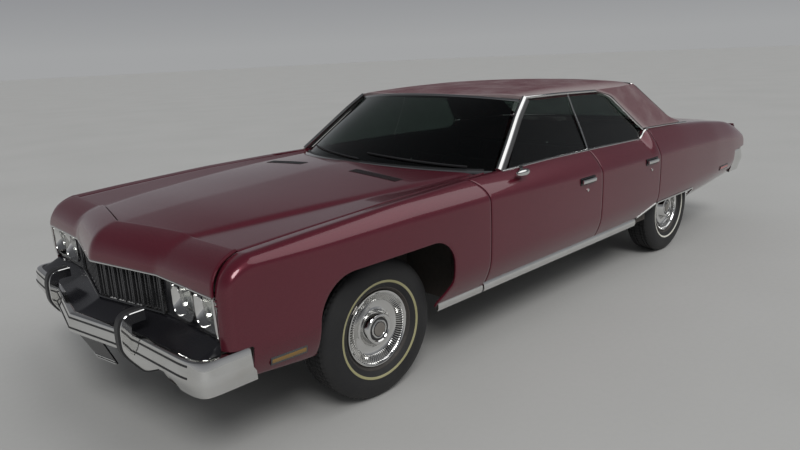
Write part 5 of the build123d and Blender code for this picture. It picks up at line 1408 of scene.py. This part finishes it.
def makeShields():
    # dark sheets close the front of each wheel room, the trunk's floor and the back of each wheelhouse
    share = np.linspace(0, 1, 8)[None, :]
    for name, x, z, inY in (
            ("splash_shield", shields["x"], np.linspace(*shields["z"], 16), shields["inY"]),
            ("trunk_side_floor", np.linspace(*shields["trunkX"], 24), shields["trunkZ"], shields["trunkY"]),
            ("wheelhouse_back", shields["wallX"], np.linspace(*shields["wallZ"], 12), shields["trunkY"])):
        x, z = (line[:, None] for line in np.broadcast_arrays(x, z))
        out = sideAt(x, z) - shields["clear"]
        addPair(name, surface(grid(x, inY + (out - inY) * share, z)), "body", "underbody", "frame_black",
                thickness=shields["thickness"])


shelf = dict(thickness=0.003, front=-0.949, rear=-1.596, z=(0.852, 0.945), half=0.88, wallHalf=0.676, foot=0.536,
             step=0.768)


def makeShelf():
    # the trimmed shelf under the rear window, and the wall below it that parts the cabin from the trunk
    along, across = np.linspace(0, 1, 14)[:, None], np.linspace(-1, 1, 28)[None, :]
    front, (low, high), step = shelf["front"], shelf["z"], shelf["step"]
    for name, rear, z0, z1, half in (
            ("parcel_shelf", shelf["rear"], low, high, shelf["half"]),
            ("seat_wall", front, shelf["foot"], step, shelf["wallHalf"]),
            ("seat_wall_top", front, step + 0.004, low - 0.006, shelf["half"])):
        points = grid(front + (rear - front) * along, half * across, z0 + (z1 - z0) * along)
        addPiece(name, surface(points), "body", "trimCloth", "dash_black", thickness=shelf["thickness"])


makeShields()
makeShelf()
print("underbody and shelf made")


# The room: floor, backdrop, lights and camera.
room = dict(floor=150.0, ambient=(0.9, 0.93, 0.97, 1), ambientStrength=0.5,
            # heights and greys of the backdrop, then direction, strength and spread of each lamp
            backdrop=((0.02, (0.36, 0.365, 0.37)), (0.12, (0.26, 0.265, 0.28)), (0.45, (0.10, 0.103, 0.11)),
                      (1, (0.06, 0.062, 0.068))),
            lamps=dict(key=((0.45, 0.75, 1.0), 1.5, 25), fill=((-0.5, 0.4, 0.8), 0.7, 50)),
            camera=(3.652, 3.055, 1.595), forward=(-0.67028, -0.69839, -0.25097),
            right=(-0.71305, 0.69980, -0.04300), lens=29.495)


def makeBackdrop(world):
    # a plain grey that darkens upwards, by the height of the ray's direction, and a plain light from all round
    world.use_nodes = True
    tree = world.node_tree
    ambient, seen = tree.nodes["Background"], addNode(tree, "Background")
    ambient.inputs["Color"].default_value = room["ambient"]
    ambient.inputs["Strength"].default_value = room["ambientStrength"]
    place, height, shades = (addNode(tree, kind) for kind in ("TexCoord", "SeparateXYZ", "ValToRGB"))
    for at, colour in room["backdrop"]:
        stop = shades.color_ramp.elements[-1] if at == 1 else shades.color_ramp.elements.new(at)
        stop.color = (*colour, 1)
    shades.color_ramp.elements.remove(shades.color_ramp.elements[0])
    paths, mix = addNode(tree, "LightPath"), addNode(tree, "MixShader")
    either, all3 = (addNode(tree, "Math", operation="MAXIMUM") for _ in range(2))
    wire(tree, (place, "Generated", height, "Vector"), (height, "Z", shades, "Fac"), (shades, "Color", seen, "Color"),
         (paths, "Is Camera Ray", either, 0), (paths, "Is Glossy Ray", either, 1), (either, 0, all3, 0),
         (paths, "Is Transmission Ray", all3, 1), (all3, 0, mix, "Fac"), (ambient, 0, mix, 1), (seen, 0, mix, 2),
         (mix, 0, tree.nodes["World Output"], "Surface"))


def makeRoom():
    scene = bpy.context.scene
    scene.view_settings.view_transform = "Standard"
    scene.world = bpy.data.worlds.new("room")
    makeBackdrop(scene.world)

    half = room["floor"]
    mesh = bpy.data.meshes.new("floor")
    mesh.from_pydata([(-half, -half, 0), (half, -half, 0), (half, half, 0), (-half, half, 0)], [], [(0, 1, 2, 3)])
    mesh.materials.append(finish("greyFloor", (0.40, 0.395, 0.38), (0.35, 0.345, 0.33), (0.6, 0.8), broad=0.6, fine=30,
                                 bump=0.1))
    floor = bpy.data.objects.new("floor", mesh)
    scene.collection.objects.link(floor)

    for name, (toward, strength, spread) in room["lamps"].items():
        data = bpy.data.lights.new(name, "SUN")
        data.energy, data.angle = strength, math.radians(spread)
        lamp = bpy.data.objects.new(name, data)
        scene.collection.objects.link(lamp)
        lamp.rotation_euler = Vector(toward).to_track_quat("Z", "Y").to_euler()

    data = bpy.data.cameras.new("camera")
    data.lens, data.sensor_width = room["lens"], 36.0
    data.clip_start, data.clip_end = 0.05, 200
    camera = bpy.data.objects.new("camera", data)
    scene.collection.objects.link(camera)
    right, back = np.array(room["right"]), -np.array(room["forward"])
    turn = np.eye(4)
    turn[:3] = np.column_stack([right, np.cross(back, right), back, room["camera"]])
    camera.matrix_world = Matrix(turn.tolist())
    scene.camera = camera


makeRoom()
